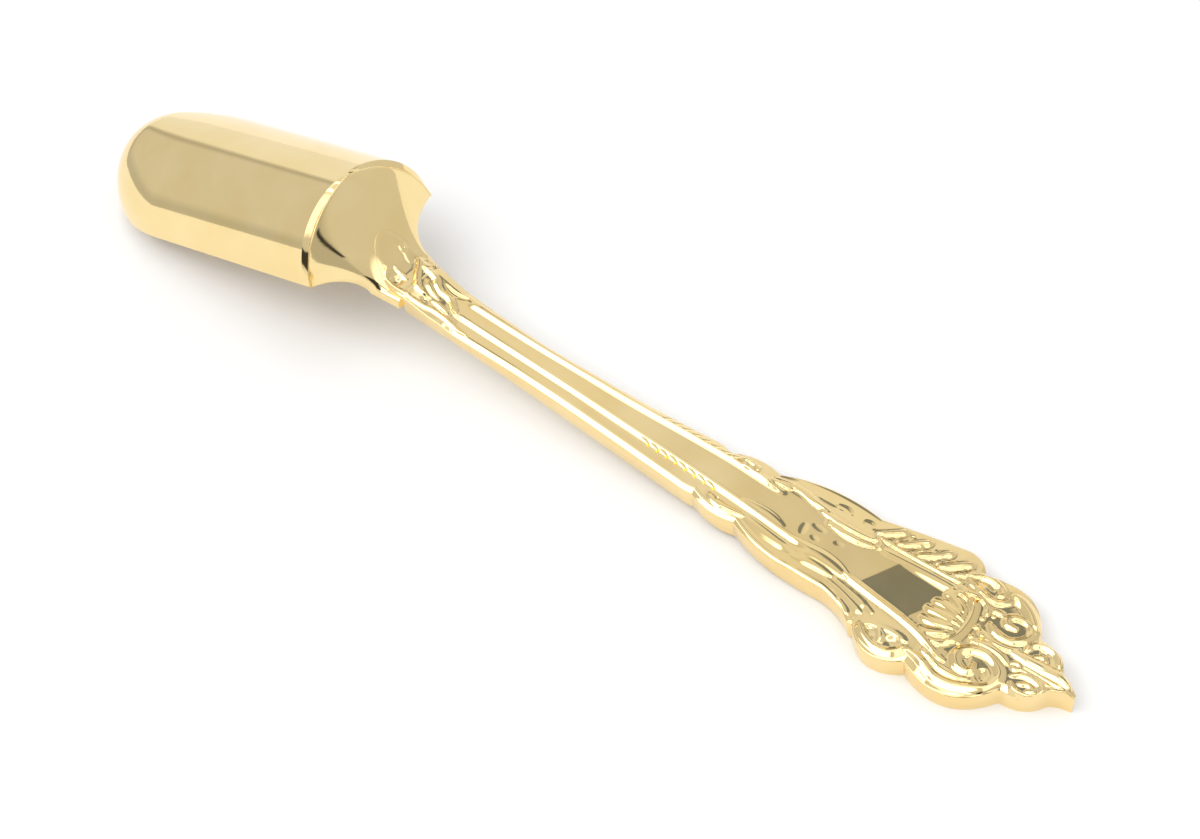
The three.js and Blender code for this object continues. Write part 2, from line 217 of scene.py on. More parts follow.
# Distances from the tip between which a form of the face fades in.
STEM_FADE = (18.0, 30.0)
RIM_GROWTH = (33.0, 39.0)
RIM_NECK_FADE = (73.0, 76.5)
GROUND_FADE = (11.5, 13.0)
GROUND_TIP_FADE = (1.5, 4.0)
CARTOUCHE_FADE = (11.5, 14.5)

# Carving strokes: form, half width, height or depth, and a path of points.
# Each point is its distance from the tip and its offset from the middle, far side positive.
CARVING = [
    # Far scallop: a hooked scroll with a knob
    ("ridge", 0.36, 0.202, [(41.2, 2.9), (40.6, 3.6), (39.9, 4.05), (38.9, 4.0), (38.3, 3.5)]),
    ("ridge", 0.30, 0.168, [(39.7, 3.0), (39.0, 2.9), (38.4, 3.1)]),
    ("hollow", 0.40, 0.11, [(39.5, 3.5), (38.8, 3.4)]),
    ("leaf", 0.50, 0.235, [(38.3, 3.0), (37.0, 3.2), (35.6, 3.5), (34.2, 3.6)]),
    # Far shoulder: strands of a long leaf that end in a curl
    ("leaf", 0.60, 0.297, [
        (36.2, 3.9), (34.5, 4.15), (33.0, 4.15), (31.5, 3.8), (30.0, 3.65), (28.8, 3.4),
    ]),
    ("leaf", 0.58, 0.282, [(30.2, 3.3), (28.2, 3.15), (26.8, 3.1), (25.4, 3.25), (24.3, 3.5)]),
    ("leaf", 0.46, 0.218, [(29.0, 2.5), (27.5, 2.35), (26.0, 2.35), (24.8, 2.5), (23.8, 2.8)]),
    ("ridge", 0.30, 0.168, [(24.6, 3.5), (23.9, 3.7), (23.3, 3.35), (23.3, 2.85)]),
    ("hollow", 0.28, 0.08, [(24.2, 3.1), (23.9, 3.05)]),
    ("hollow", 0.70, 0.05, [(29.4, 4.9), (28.0, 4.9)]),
    ("hollow", 0.70, 0.06, [(26.1, 5.0), (25.4, 4.7)]),
    ("leaf", 0.40, 0.05, [(36.5, 4.1), (34.5, 4.45), (32.5, 4.7), (30.5, 4.8), (28.8, 4.85)]),
    # Near scallop and the broad leaves of the near shoulder
    ("leaf", 0.55, 0.266, [(40.3, -2.0), (39.4, -2.3), (38.2, -2.4), (37.0, -2.2), (36.2, -2.0)]),
    ("hollow", 0.24, 0.07, [(39.5, -2.0), (39.2, -1.9)]),
    ("leaf", 0.75, 0.12, [(36.0, -1.8), (34.0, -2.1), (32.0, -2.3), (30.3, -2.4), (29.3, -2.6)]),
    ("leaf", 0.90, 0.12, [(30.6, -1.5), (28.6, -1.5), (27.0, -1.4), (25.5, -1.5), (24.0, -1.8)]),
    ("leaf", 0.60, 0.09, [(29.6, -2.8), (28.0, -2.6), (26.5, -2.5), (25.2, -2.6)]),
    ("leaf", 0.50, 0.08, [(25.2, -3.2), (23.5, -3.5), (22.0, -3.9), (20.5, -4.3)]),
    ("leaf", 0.46, 0.07, [(24.4, -2.7), (22.8, -3.0), (21.2, -3.3), (19.6, -3.7)]),
    ("ridge", 0.30, 0.07, [(23.0, -4.2), (22.1, -4.6), (21.4, -5.1)]),
    ("leaf", 0.50, 0.05, [(37.0, -0.45), (35.3, -0.35), (33.8, -0.35), (32.3, -0.6)]),
    # Small dents in the panel
    ("hollow", 0.40, 0.018, [(30.6, 0.9), (30.3, -0.2)]),
    ("hollow", 0.36, 0.018, [(29.8, 1.4), (28.6, 1.3)]),
    ("hollow", 0.32, 0.016, [(29.2, 0.1), (28.6, 0.0)]),
    ("hollow", 0.30, 0.014, [(27.0, 0.9), (26.3, 1.0)]),
    # Cartouche border, bold on the near side
    ("ridge", 0.52, 0.265, [
        (24.2, -1.7), (22.5, -1.9), (20.0, -2.2), (17.5, -2.5), (15.1, -3.0), (13.8, -3.45), (12.9, -3.9),
    ]),
    ("ridge", 0.55, 0.07, [(23.0, 3.0), (20.5, 3.25), (17.5, 3.45), (15.0, 3.5)]),
    # Near bulb: a dished lobe with a thick rim and a leaf in it
    ("ridge", 0.55, 0.308, [
        (19.9, -5.4), (19.2, -6.0), (18.2, -6.5), (17.1, -6.7), (16.1, -6.5), (15.3, -5.8), (15.0, -5.1),
    ]),
    ("ridge", 0.42, 0.06, [(19.8, -5.1), (18.8, -4.7), (17.6, -4.4), (16.4, -4.3), (15.3, -4.5)]),
    ("leaf", 0.42, 0.156, [(18.0, -4.8), (17.5, -5.4), (17.3, -6.1)]),
    ("hollow", 0.75, 0.1, [(16.5, -5.4), (15.9, -5.3)]),
    ("hollow", 0.55, 0.08, [(18.9, -5.4), (18.4, -5.4)]),
    # Near scroll lobe: one roll that winds into an eye, with strands inside
    ("ridge", 0.58, 0.325, [
        (14.6, -5.2), (13.4, -5.35), (12.2, -5.75), (11.1, -6.05), (9.9, -5.95), (8.7, -5.5), (7.6, -4.9),
        (6.7, -4.2), (6.3, -3.2), (6.6, -2.2), (7.5, -1.5), (8.6, -1.2), (9.8, -1.45), (10.6, -2.15),
        (10.8, -3.0), (10.2, -3.75), (9.3, -3.95), (8.8, -3.5), (9.0, -2.9),
    ]),
    ("leaf", 0.42, 0.204, [(13.6, -4.3), (12.4, -4.7), (11.0, -5.0), (9.6, -4.9), (8.6, -4.5)]),
    ("leaf", 0.36, 0.172, [(13.2, -3.8), (12.2, -4.1), (11.4, -4.1)]),
    ("hollow", 0.55, 0.15, [(7.9, -3.0), (7.7, -3.7)]),
    ("hollow", 0.26, 0.07, [(10.0, -2.7), (9.7, -2.5)]),
    # Far scroll lobe: an oval ring, a smooth outer roll and a second scroll below
    ("ridge", 0.50, 0.28, [(14.8, 5.5), (14.0, 6.25), (12.8, 6.6), (11.7, 6.4), (11.1, 5.8), (11.3, 5.3)]),
    ("ridge", 0.50, 0.28, [
        (14.6, 5.2), (13.4, 4.7), (12.2, 4.45), (11.0, 4.55), (10.3, 5.1), (9.9, 5.8), (9.9, 6.4),
    ]),
    ("hollow", 0.34, 0.1, [(13.6, 5.8), (12.8, 5.9), (12.1, 5.7)]),
    ("ridge", 0.30, 0.168, [(9.6, 5.8), (8.9, 5.4), (8.3, 5.4)]),
    ("ridge", 0.80, 0.448, [(10.4, 6.2), (9.2, 6.05), (7.8, 5.3), (6.6, 4.2)]),
    ("ridge", 0.46, 0.258, [
        (10.2, 1.9), (9.4, 1.45), (8.5, 1.25), (7.6, 1.4), (6.8, 2.1), (6.5, 3.0), (6.9, 3.9), (7.8, 4.2),
        (8.7, 4.0), (9.2, 3.4), (8.8, 2.85), (8.0, 2.85),
    ]),
    ("ridge", 0.36, 0.202, [(10.7, 3.5), (9.9, 3.6)]),
    ("ridge", 0.34, 0.187, [(12.4, 4.0), (11.4, 3.5), (11.0, 2.7)]),
    ("leaf", 0.46, 0.218, [(10.4, 0.7), (8.8, 0.3), (7.4, 0.5), (6.5, 1.1)]),
    ("leaf", 0.50, 0.235, [(10.6, -0.6), (9.0, -0.4), (7.6, -0.5), (6.6, -0.9)]),
    # End scrolls beside the tip leaf
    ("ridge", 0.42, 0.235, [(6.0, 1.4), (5.8, 2.2), (5.0, 2.8), (4.0, 2.8), (3.1, 2.3), (2.7, 1.6)]),
    ("ridge", 0.30, 0.168, [(5.0, 1.2), (4.4, 1.6), (3.8, 1.3)]),
    ("hollow", 0.36, 0.1, [(4.8, 2.1), (4.2, 2.1)]),
    ("ridge", 0.40, 0.218, [
        (5.6, -1.8), (4.9, -1.2), (3.9, -1.05), (2.8, -1.3), (2.3, -2.0), (2.7, -2.7), (3.6, -3.1),
        (4.7, -3.0), (5.3, -2.5),
    ]),
    ("ridge", 0.30, 0.168, [(4.6, -2.2), (3.9, -1.8), (3.2, -2.1), (3.6, -2.5)]),
    # Tip leaf, the two cords beside it and their eye
    ("leaf", 0.75, 0.36, [(6.8, 0.55), (5.2, 0.5), (3.6, 0.55), (2.2, 0.55), (0.8, 0.2)]),
    ("ridge", 0.28, 0.156, [(5.3, -0.3), (3.8, -0.3), (2.2, -0.4), (1.3, -0.4)]),
    ("ridge", 0.28, 0.156, [(5.2, -0.75), (3.8, -0.7), (2.4, -0.85)]),
    ("ridge", 0.30, 0.168, [(6.3, -0.6), (5.8, -0.35), (5.3, -0.6), (5.6, -1.0), (6.1, -0.9)]),
    # Palmette at the round end of the cartouche, with its collar
    ("leaf", 0.72, 0.344, [(12.6, 1.3), (13.6, 2.0), (14.5, 2.5), (15.2, 2.5)]),
    ("leaf", 0.72, 0.344, [(12.4, 0.7), (13.6, 1.0), (14.7, 1.3), (15.6, 1.2)]),
    ("leaf", 0.72, 0.344, [(12.3, 0.0), (13.5, 0.05), (14.8, 0.1), (15.8, 0.1)]),
    ("leaf", 0.72, 0.344, [(12.3, -0.6), (13.5, -0.9), (14.7, -1.1), (15.6, -1.1)]),
    ("leaf", 0.72, 0.344, [(12.3, -1.2), (13.4, -1.9), (14.4, -2.3), (15.1, -2.3)]),
    ("ridge", 0.55, 0.308, [(13.0, 3.2), (12.3, 2.5), (11.9, 1.3), (11.8, 0.0), (11.9, -1.2), (12.3, -2.3)]),
    ("leaf", 0.50, 0.235, [(14.7, 4.0), (13.8, 3.8), (12.8, 3.9), (11.9, 4.0)]),
    ("leaf", 0.42, 0.204, [(13.6, 3.1), (14.3, 3.2), (15.0, 3.1)]),
    ("leaf", 0.46, 0.218, [(12.0, -2.2), (12.9, -2.8), (13.9, -3.0)]),
    # Acanthus on the far side: leaf lobes over the flutes
    ("ridge", 0.58, 0.325, [(24.4, 4.5), (23.6, 5.3), (22.9, 6.0), (22.4, 6.5)]),
    ("ridge", 0.58, 0.325, [(22.1, 4.5), (21.2, 5.5), (20.4, 6.3), (19.8, 6.8)]),
    ("ridge", 0.58, 0.325, [(19.8, 4.5), (18.8, 5.5), (18.0, 6.4), (17.4, 7.0)]),
    ("ridge", 0.62, 0.347, [(17.5, 4.6), (16.6, 5.6), (15.8, 6.4), (15.2, 7.0)]),
    ("ridge", 0.46, 0.258, [(15.8, 4.7), (15.1, 5.4), (14.7, 6.1)]),
    ("ridge", 0.34, 0.187, [(24.2, 4.15), (21.5, 4.1), (18.5, 4.15), (15.6, 4.25), (14.4, 4.4)]),
    ("hollow", 0.26, 0.08, [(21.8, 6.2), (21.5, 6.4)]),
    ("hollow", 0.26, 0.08, [(18.9, 6.1), (18.5, 6.3)]),
    ("hollow", 0.26, 0.08, [(23.0, 5.1), (22.6, 5.2)]),
    ("hollow", 0.26, 0.08, [(18.4, 4.8), (18.2, 5.0)]),
    # Neck: a bud, a stem that crosses the cap, and the leaves on both sides
    ("ridge", 0.24, 0.14, [(84.8, 1.0), (85.2, 1.2), (85.2, 1.6), (84.8, 1.6), (84.6, 1.2), (83.9, 0.9)]),
    ("ridge", 0.44, 0.26, [(83.7, 2.3), (82.9, 1.4), (82.2, 0.4), (81.4, -0.5), (80.7, -0.95), (79.8, -1.0)]),
    ("ridge", 0.46, 0.28, [
        (82.4, 1.6), (81.2, 1.55), (80.3, 1.35), (79.7, 0.8), (78.9, 0.5), (78.0, 0.55), (77.2, 0.3),
        (76.5, -0.15), (75.8, -0.6),
    ]),
    ("leaf", 0.40, 0.20, [(80.8, 0.5), (80.1, 0.1), (79.4, -0.2), (78.6, -0.4)]),
    ("ridge", 0.30, 0.18, [(84.2, -0.85), (83.4, -0.85), (82.6, -1.0)]),
    ("ridge", 0.28, 0.17, [(84.6, -1.5), (84.4, -2.2), (83.9, -2.7)]),
    ("ridge", 0.46, 0.28, [(84.0, -2.7), (82.8, -2.75), (81.6, -2.6), (81.0, -2.4)]),
    ("ridge", 0.32, 0.19, [
        (81.2, -2.5), (80.2, -2.4), (79.0, -2.2), (78.0, -1.9), (76.5, -1.85), (75.0, -1.95), (73.0, -2.1),
    ]),
    ("leaf", 0.36, 0.18, [(78.6, -1.0), (77.6, -1.0), (76.6, -1.2)]),
    ("hollow", 0.60, 0.17, [(83.4, -1.8), (82.8, -1.8)]),
    ("hollow", 0.45, 0.13, [(79.6, -1.5), (79.1, -1.3)]),
    ("hollow", 0.34, 0.10, [(77.3, -1.4), (76.8, -1.45)]),
    ("hollow", 0.42, 0.12, [(79.0, 1.5), (78.0, 1.35), (77.0, 1.5), (76.3, 1.8)]),
    ("hollow", 0.50, 0.14, [(82.9, 2.6), (81.9, 2.5)]),
]
STROKE_PITCH = 0.08
ACANTHUS_FLUTES = 7
FLUTE_START = (23.1, 4.25)
FLUTE_PITCH = (-1.17, 0.06)
FLUTE_RUN = (-1.7, 1.5)
FLUTE_BEND = (0.12, 0.18)
FLUTE_HALF_WIDTH = 0.32
FLUTE_HEIGHT = 0.16

# Pellets near the palmette: distance from the tip, offset from the middle, radius.
PELLETS = [
    (11.1, 2.1, 0.34), (11.0, 0.95, 0.4), (10.8, -0.25, 0.38), (10.1, 0.4, 0.28), (11.4, -1.6, 0.3),
    (10.4, 2.9, 0.28), (12.6, 3.7, 0.26), (13.6, 3.6, 0.22),
]
PELLET_FLATNESS = 0.45

# Leaf tips that lie along the beads where the stem starts to widen.
LEAF_TIP_FROM = 49.5
LEAF_TIP_TO = 41.0
LEAF_TIP_SIZES = {"Pitch": 1.15, "Length": 0.95, "Width": 0.3, "Thickness": 0.08}
LEAF_TIP_TURN = math.radians(24)
LEAF_TIP_OUTWARDS = 0.25
LEAF_TIP_LIFT = 0.02

# Finishes: how rough the polish is where it is best and where it is worst.
PLATE_POLISH = (0.03, 0.08)
FILLER_POLISH = (0.16, 0.28)
# Painted shade: the dark tint that the handle's recesses are mixed towards, and how much of it is mixed in.
RECESS_SHADE_TINT = (0.55, 0.45, 0.24, 1.0)
RECESS_SHADE_SHARE = 0.5

# Table: reach in metres, greys of its grain, and what the camera and polished metal see of it besides.
TABLE_REACH = 6.0
TABLE_GREYS = (0.77, 0.80)
TABLE_GLOW = 0.08

CAMERA_PLACE = (99.04, -94.21, 144.2238)
CAMERA_PITCH = math.radians(47.3811)
CAMERA_HEADING = math.radians(133.7405)
CAMERA_ROLL = math.radians(-4.9191)
CAMERA_LENS = 55.18
CAMERA_SENSOR = 36.0


def smoothstep(low, high, value):
    """0 below low, 1 above high, and an eased slope between them."""
    share = np.clip((np.asarray(value, dtype=float) - low) / (high - low), 0.0, 1.0)
    return share * share * (3.0 - 2.0 * share)


def roof(distance):
    """Profile of a roll: a rounded crest with straight flanks down to its foot at distance 1."""
    flank = math.hypot(1.0, CREST_ROUND)
    return np.maximum(0.0, (flank - np.hypot(distance, CREST_ROUND)) / (flank - CREST_ROUND))


def ramp(share):
    """A straight slope from 0 to 1 with its two corners eased."""
    share = np.clip(share, 0.0, 1.0)
    lower = 2.5 * share ** 2
    upper = 0.8 - 2.5 * (1.0 - share) ** 2
    return np.where(share < 0.2, lower, np.where(share > 0.8, upper, share - 0.1)) / 0.8


class Field:
    """A number in a node tree; arithmetic on it adds Math nodes."""

    def __init__(self, tree, socket):
        self.tree = tree
        self.socket = socket

    def math(self, operation, *values):
        node = add_node(self.tree, "ShaderNodeMath", {"operation": operation})
        for value, socket in zip(values, node.inputs):
            connect(self.tree, value, socket)
        return Field(self.tree, node.outputs[0])

    def __add__(self, other):
        return self.math("ADD", self, other)

    def __sub__(self, other):
        return self.math("SUBTRACT", self, other)

    def __rsub__(self, other):
        return self.math("SUBTRACT", other, self)

    def __mul__(self, other):
        return self.math("MULTIPLY", self, other)

    def power(self, exponent):
        return self.math("POWER", self, exponent)

    def sine(self):
        return self.math("SINE", self)

    def cosine(self):
        return self.math("COSINE", self)

    def root(self):
        return self.math("SQRT", self)

    def absolute(self):
        return self.math("ABSOLUTE", self)

    def at_least(self, other):
        return self.math("MAXIMUM", self, other)

    def between(self, low, high):
        """0 below low, 1 above high, and a straight ramp between them."""
        node = add_node(
            self.tree, "ShaderNodeMapRange", {"clamp": True}, Value=self, From_Min=low, From_Max=high
        )
        return Field(self.tree, node.outputs["Result"])


def connect(tree, value, socket):
    """Links a socket or a Field to an input, or sets any other value on it."""
    if isinstance(value, Field):
        value = value.socket
    if isinstance(value, bpy.types.NodeSocket):
        tree.links.new(value, socket)
    else:
        socket.default_value = value


def add_node(tree, kind, settings=None, **inputs):
    """Adds a node with its settings, and connects the inputs that are named."""
    node = tree.nodes.new(kind)
    for name, value in (settings or {}).items():
        setattr(node, name, value)
    for name, value in inputs.items():
        connect(tree, value, node.inputs[name.replace("_", " ")])
    return node


def place_fields(tree):
    """The three coordinates of a point, as Fields in a Geometry Nodes tree."""
    place = add_node(tree, "GeometryNodeInputPosition")
    parts = add_node(tree, "ShaderNodeSeparateXYZ", Vector=place.outputs["Position"])
    return [Field(tree, parts.outputs[axis]) for axis in "XYZ"]


def geometry_tree(name, sizes):
    """A Geometry Nodes tree with named sizes and a finish as inputs: the tree and its inputs' Fields."""
    tree = bpy.data.node_groups.new(name, "GeometryNodeTree")
    tree.interface.new_socket("Geometry", in_out="INPUT", socket_type="NodeSocketGeometry")
    for size in sizes:
        tree.interface.new_socket(size, in_out="INPUT", socket_type="NodeSocketFloat")
    tree.interface.new_socket("Finish", in_out="INPUT", socket_type="NodeSocketMaterial")
    tree.interface.new_socket("Geometry", in_out="OUTPUT", socket_type="NodeSocketGeometry")
    source = tree.nodes.new("NodeGroupInput")
    return tree, {name: Field(tree, source.outputs[name]) for name in ("Geometry", *sizes, "Finish")}


def finish_tree(tree, given, geometry):
    """Ends a tree: instances become real, the faces smooth, and the finish is set."""
    real = add_node(tree, "GeometryNodeRealizeInstances", Geometry=geometry)
    smooth = add_node(tree, "GeometryNodeSetShadeSmooth", Geometry=real.outputs["Geometry"])
    finish = add_node(
        tree, "GeometryNodeSetMaterial", Geometry=smooth.outputs["Geometry"], Material=given["Finish"]
    )
    add_node(tree, "NodeGroupOutput", Geometry=finish.outputs["Geometry"])


def linked(name, data):
    """A new object in the scene."""
    thing = bpy.data.objects.new(name, data)
    bpy.context.collection.objects.link(thing)
    return thing


def grown(name, carrier, tree, sizes, finish):
    """Runs a tree on a carrier object and returns its result as a plain mesh object in metres."""
    modifier = carrier.modifiers.new("rule", "NODES")
    modifier.node_group = tree
    values = dict(sizes, Finish=finish)
    for item in tree.interface.items_tree:
        if item.item_type == "SOCKET" and item.in_out == "INPUT" and item.name in values:
            modifier[item.identifier] = values[item.name]
    graph = bpy.context.evaluated_depsgraph_get()
    mesh = bpy.data.meshes.new_from_object(carrier.evaluated_get(graph))
    carrier.modifiers.remove(modifier)
    bpy.data.objects.remove(carrier)
    mesh.name = name
    mesh.transform(Matrix.Translation((NECK_X * MM, 0, 0)) @ Matrix.Scale(MM, 4))
    if not mesh.materials:
        mesh.materials.append(finish)
    return linked(name, mesh)


def outward(piece):
    """Merges doubles and turns every face of a closed shell to the outside."""
    shell = bmesh.new()
    shell.from_mesh(piece.data)
    bmesh.ops.remove_doubles(shell, verts=shell.verts, dist=1e-7)
    bmesh.ops.dissolve_degenerate(shell, edges=shell.edges, dist=1e-8)
    bmesh.ops.recalc_face_normals(shell, faces=shell.faces)
    shell.to_mesh(piece.data)
    shell.free()


def lofted(name, rows, finish):
    """A mesh object from rows of points, each row a closed loop around the piece, and two end faces."""
    rows = np.asarray(rows, dtype=float)
    count, size = rows.shape[:2]
    points = rows.reshape(-1, 3).copy()
    points[:, 0] += NECK_X
    points *= MM
    row, step = np.meshgrid(np.arange(count - 1), np.arange(size), indexing="ij")
    a = row * size + step
    b = row * size + (step + 1) % size
    faces = np.stack([a, a + size, b + size, b], axis=-1).reshape(-1, 4).tolist()
    faces.append(list(range(size)))
    faces.append([(count - 1) * size + i for i in range(size)][::-1])
    mesh = bpy.data.meshes.new(name)
    mesh.from_pydata(points.tolist(), [], faces)
    mesh.materials.append(finish)
    mesh.polygons.foreach_set("use_smooth", [True] * len(mesh.polygons))
    return linked(name, mesh)


def bowl_shell(finish):
    """The bowl: one skin that runs over the outside, round the rim and back along the inside."""
    sizes = {
        "Length": BOWL_LENGTH, "Half width": BOWL_HALF_WIDTH, "Flare": BOWL_FLARE, "Height": BOWL_HEIGHT,
        "Taper": BOWL_HEIGHT_TAPER, "Wall": BOWL_WALL, "Nose": NOSE_LENGTH, "Nose drop": NOSE_DROP,
        "Bevel width": BEVEL_WIDTH, "Bevel depth": BEVEL_DEPTH, "Rim round": BOWL_RIM_ROUND,
    }
    tree, size = geometry_tree("bowl_rule", sizes)
    grid = add_node(
        tree, "GeometryNodeMeshGrid", Size_X=1.0, Size_Y=1.0, Vertices_X=BOWL_GRID[0], Vertices_Y=BOWL_GRID[1]
    )
    across, down, _ = place_fields(tree)
    around = across + 0.5
    back_to_nose = down + 0.5
    inside_end = 0.5 + OUTSIDE_SHARE
    angle = (around.between(0.0, OUTSIDE_SHARE) - around.between(0.5, inside_end)) * math.pi
    through_wall = around.between(OUTSIDE_SHARE, 0.5) - around.between(inside_end, 1.0)
    share = (back_to_nose.between(BACK_FACE_SHARE, 1.0).power(NOSE_ROW_SPACING) * (math.pi / 2)).sine()
    bevel = (angle * 2.0).sine().absolute().power(BEVEL_RUN) * size["Bevel width"] * (1.0 - through_wall)
    bevel_left = 1.0 - (share * size["Length"]).between(0.0, size["Bevel depth"])
    skin = size["Wall"] * through_wall + bevel * bevel_left
    closing = back_to_nose.between(0.0, BACK_FACE_SHARE)
    inset = skin * closing + size["Wall"] * BACK_FACE_INSET * (1.0 - closing)
    length = size["Length"] - size["Wall"] * through_wall
    along = share * length

    def rounded(round_length):
        past = (along - length + round_length).between(0.0, round_length - WELD_DISTANCE)
        return (1.0 - past * past).root()

    half = (size["Half width"] - inset + size["Flare"] * along) * rounded(size["Nose"] - inset)
    high = (size["Height"] - inset - size["Taper"] * along) * rounded(size["Nose drop"] - inset)
    lip = (through_wall * 2.0 - 1.0).absolute().power(3.0) * size["Rim round"]
    rise = (high * angle.sine()).at_least(lip)
    point = add_node(
        tree, "ShaderNodeCombineXYZ",
        X=along * float(BOWL_AXIS[0]) + rise * float(BOWL_UP[0]) + float(HEEL_CENTRE[0]),
        Y=half * angle.cosine() * -1.0,
        Z=along * float(BOWL_AXIS[2]) + rise * float(BOWL_UP[2]) + float(HEEL_CENTRE[2]),
    )
    bend = add_node(
        tree, "GeometryNodeSetPosition", Geometry=grid.outputs["Mesh"], Position=point.outputs["Vector"]
    )
    weld = add_node(
        tree, "GeometryNodeMergeByDistance", Geometry=bend.outputs["Geometry"], Distance=WELD_DISTANCE
    )
    finish_tree(tree, size, weld.outputs["Geometry"])
    piece = grown("bowl_shell", linked("carrier", bpy.data.meshes.new("carrier")), tree, sizes, finish)
    outward(piece)
    piece.data.set_sharp_from_angle(angle=SHEET_SHARP_EDGE)
    return piece


def bowl_point(along, angle, inset):
    """A point on the bowl's back end or barrel, as far from the outside as inset says."""
    half = BOWL_HALF_WIDTH - inset + BOWL_FLARE * along
    high = BOWL_HEIGHT - inset - BOWL_HEIGHT_TAPER * along
    place = HEEL_CENTRE + BOWL_AXIS * along + BOWL_UP * (high * math.sin(angle))
    return place + np.array([0.0, -half * math.cos(angle), 0.0])


def bevel_foot(angle):
    """How far the foot of the bowl's back bevel lies inside the bowl's outside."""
    return HEEL_LIP + BEVEL_WIDTH * np.abs(np.sin(2.0 * angle)) ** BEVEL_RUN


def tongue_floor(x):
    """Height of the tongue's underside."""
    return TONGUE_BOTTOM - TONGUE_SLOPE * x


def heel_row(angle, turn, x, depth, inset):
    """Points of the heel at one turn from the bowl's arch to the flat tongue."""
    arch = np.maximum(0.0, np.sin(angle))
    draw_in = np.sin(turn) ** (1.0 + HEEL_FULLNESS * arch ** HEEL_FULLNESS_SPREAD)
    lean = HEEL_LEAN + HEEL_TOP_LEAN * arch ** 3
    advance = (1.0 - lean) * (1.0 - np.cos(turn)) + lean * draw_in
    arch_x = HEEL_CENTRE[0] - (BOWL_HEIGHT - inset) * arch * math.sin(BOWL_TILT)
    arch_high = (BOWL_HEIGHT - inset) * arch * math.cos(BOWL_TILT)
    end_half = TONGUE_HALF_WIDTH - TONGUE_FLARE * x - (SEAM_CLEARANCE if depth else 0.0)
    end_high = HEEL_THICKNESS - depth if depth else HEEL_THICKNESS * arch ** TONGUE_TOP_ROUND
    side = -np.sign(np.cos(angle)) * np.abs(np.cos(angle)) ** TONGUE_SQUARENESS
    floor = HEEL_CENTRE[2] + (tongue_floor(x) - HEEL_CENTRE[2]) * advance
    wide = -(BOWL_HALF_WIDTH - inset) * np.cos(angle)
    points = np.stack([
        arch_x + (x - arch_x) * advance,
        wide + (end_half * side - wide) * draw_in,
        floor + arch_high + (end_high - arch_high) * draw_in,
    ], axis=-1)
    return points + BOWL_AXIS * depth * np.cos(turn)


def heel_saddle(finish):
    """The heel: the arch of the bowl's end draws in through a hollow fillet to the flat tongue."""
    angle = np.linspace(0.0, math.pi, ARCH_STEPS)
    rise = np.sin(angle) ** FILLET_END_RISE
    fillet_end = -SIDE_FILLET_END + (SIDE_FILLET_END - TOP_FILLET_END) * rise
    fillet = [(turn, fillet_end) for turn in np.linspace(0.0, math.pi / 2, FILLET_STEPS)]
    shares = np.linspace(0.1, 1.0, TONGUE_STEPS)
    tongue = [(math.pi / 2, fillet_end + (-SEAM_GAP - fillet_end) * share) for share in shares]
    rows = []
    for turn, x in fillet + tongue:
        upper = heel_row(angle, turn, x, 0.0, bevel_foot(angle))
        lower = heel_row(angle, turn, x, HEEL_THICKNESS, BOWL_WALL + SEAM_CLEARANCE)
        rows.append(np.concatenate([upper, lower[::-1]]))
    back = heel_row(angle, 0.0, fillet_end, 0.0, BOWL_WALL + SEAM_CLEARANCE)
    rows.insert(0, np.concatenate([rows[0][:len(angle)], back[::-1]]))
    piece = lofted("heel_saddle", rows, finish)
    outward(piece)
    piece.data.set_sharp_from_angle(angle=SHEET_SHARP_EDGE)
    return piece


def edge_line(chain):
    """One edge of the handle: distance from the neck and half width, along bowed stretches."""
    start = np.array([0.0, NECK_HALF_WIDTH])
    points = [start]
    for from_tip, half, bow in [STEM_END, *chain, *TIP_EDGE]:
        end = np.array([HANDLE_LENGTH - from_tip, half])
        away = np.array([start[1] - end[1], end[0] - start[0]])
        control = (start + end) / 2 + away / np.linalg.norm(away) * 2 * bow
        for share in np.linspace(0.0, 1.0, 25)[1:]:
            points.append((1 - share) ** 2 * start + 2 * share * (1 - share) * control + share ** 2 * end)
        start = end
    points = np.array(points)
    points[:, 0] = np.maximum.accumulate(points[:, 0])
    return points


def half_width(edge, x):
    """Half width of the handle on one side: the round cap, then the edge to the tip."""
    cap = NECK_HALF_WIDTH * np.sqrt(1.0 - np.clip(-x / CAP_LENGTH, 0.0, 1.0) ** CAP_ROUNDNESS)
    return np.maximum(TIP_HALF_WIDTH, np.where(x < 0.0, cap, np.interp(x, edge[:, 0], edge[:, 1])))


def underside(x):
    """Height of the handle's underside, which arches from the flat end up to the neck."""
    arch_end = HANDLE_LENGTH - FLAT_END
    return NECK_RISE * np.clip((arch_end - x) / arch_end, 0.0, 1.0) ** ARCH_POWER


def edge_top(x):
    """Top of the handle's edge: the cap over the tongue runs down to the stem."""
    cap = tongue_floor(x) + HEEL_THICKNESS + CAP_EDGE
    stem = underside(x) + NECK_EDGE + (STEM_EDGE - NECK_EDGE) * smoothstep(0.0, EDGE_TAPER_LENGTH, x)
    return np.where(x < 0.0, cap, cap + (stem - cap) * smoothstep(0.0, NECK_BLEND, x))


def bead_offset(points, from_tip):
    """Offset of a bead from the middle, on a smooth curve through the given points."""
    place, offset = np.array(points[::-1]).T
    slope = np.gradient(offset, place)
    i = np.clip(np.searchsorted(place, from_tip), 1, len(place) - 1)
    step = place[i] - place[i - 1]
    share = np.clip((from_tip - place[i - 1]) / step, 0.0, 1.0)
    ease = share * share * (3.0 - 2.0 * share)
    leave = share * (1.0 - share) ** 2
    arrive = share * share * (share - 1.0)
    line = offset[i - 1] + (offset[i] - offset[i - 1]) * ease
    return line + step * (slope[i - 1] * leave + slope[i] * arrive)


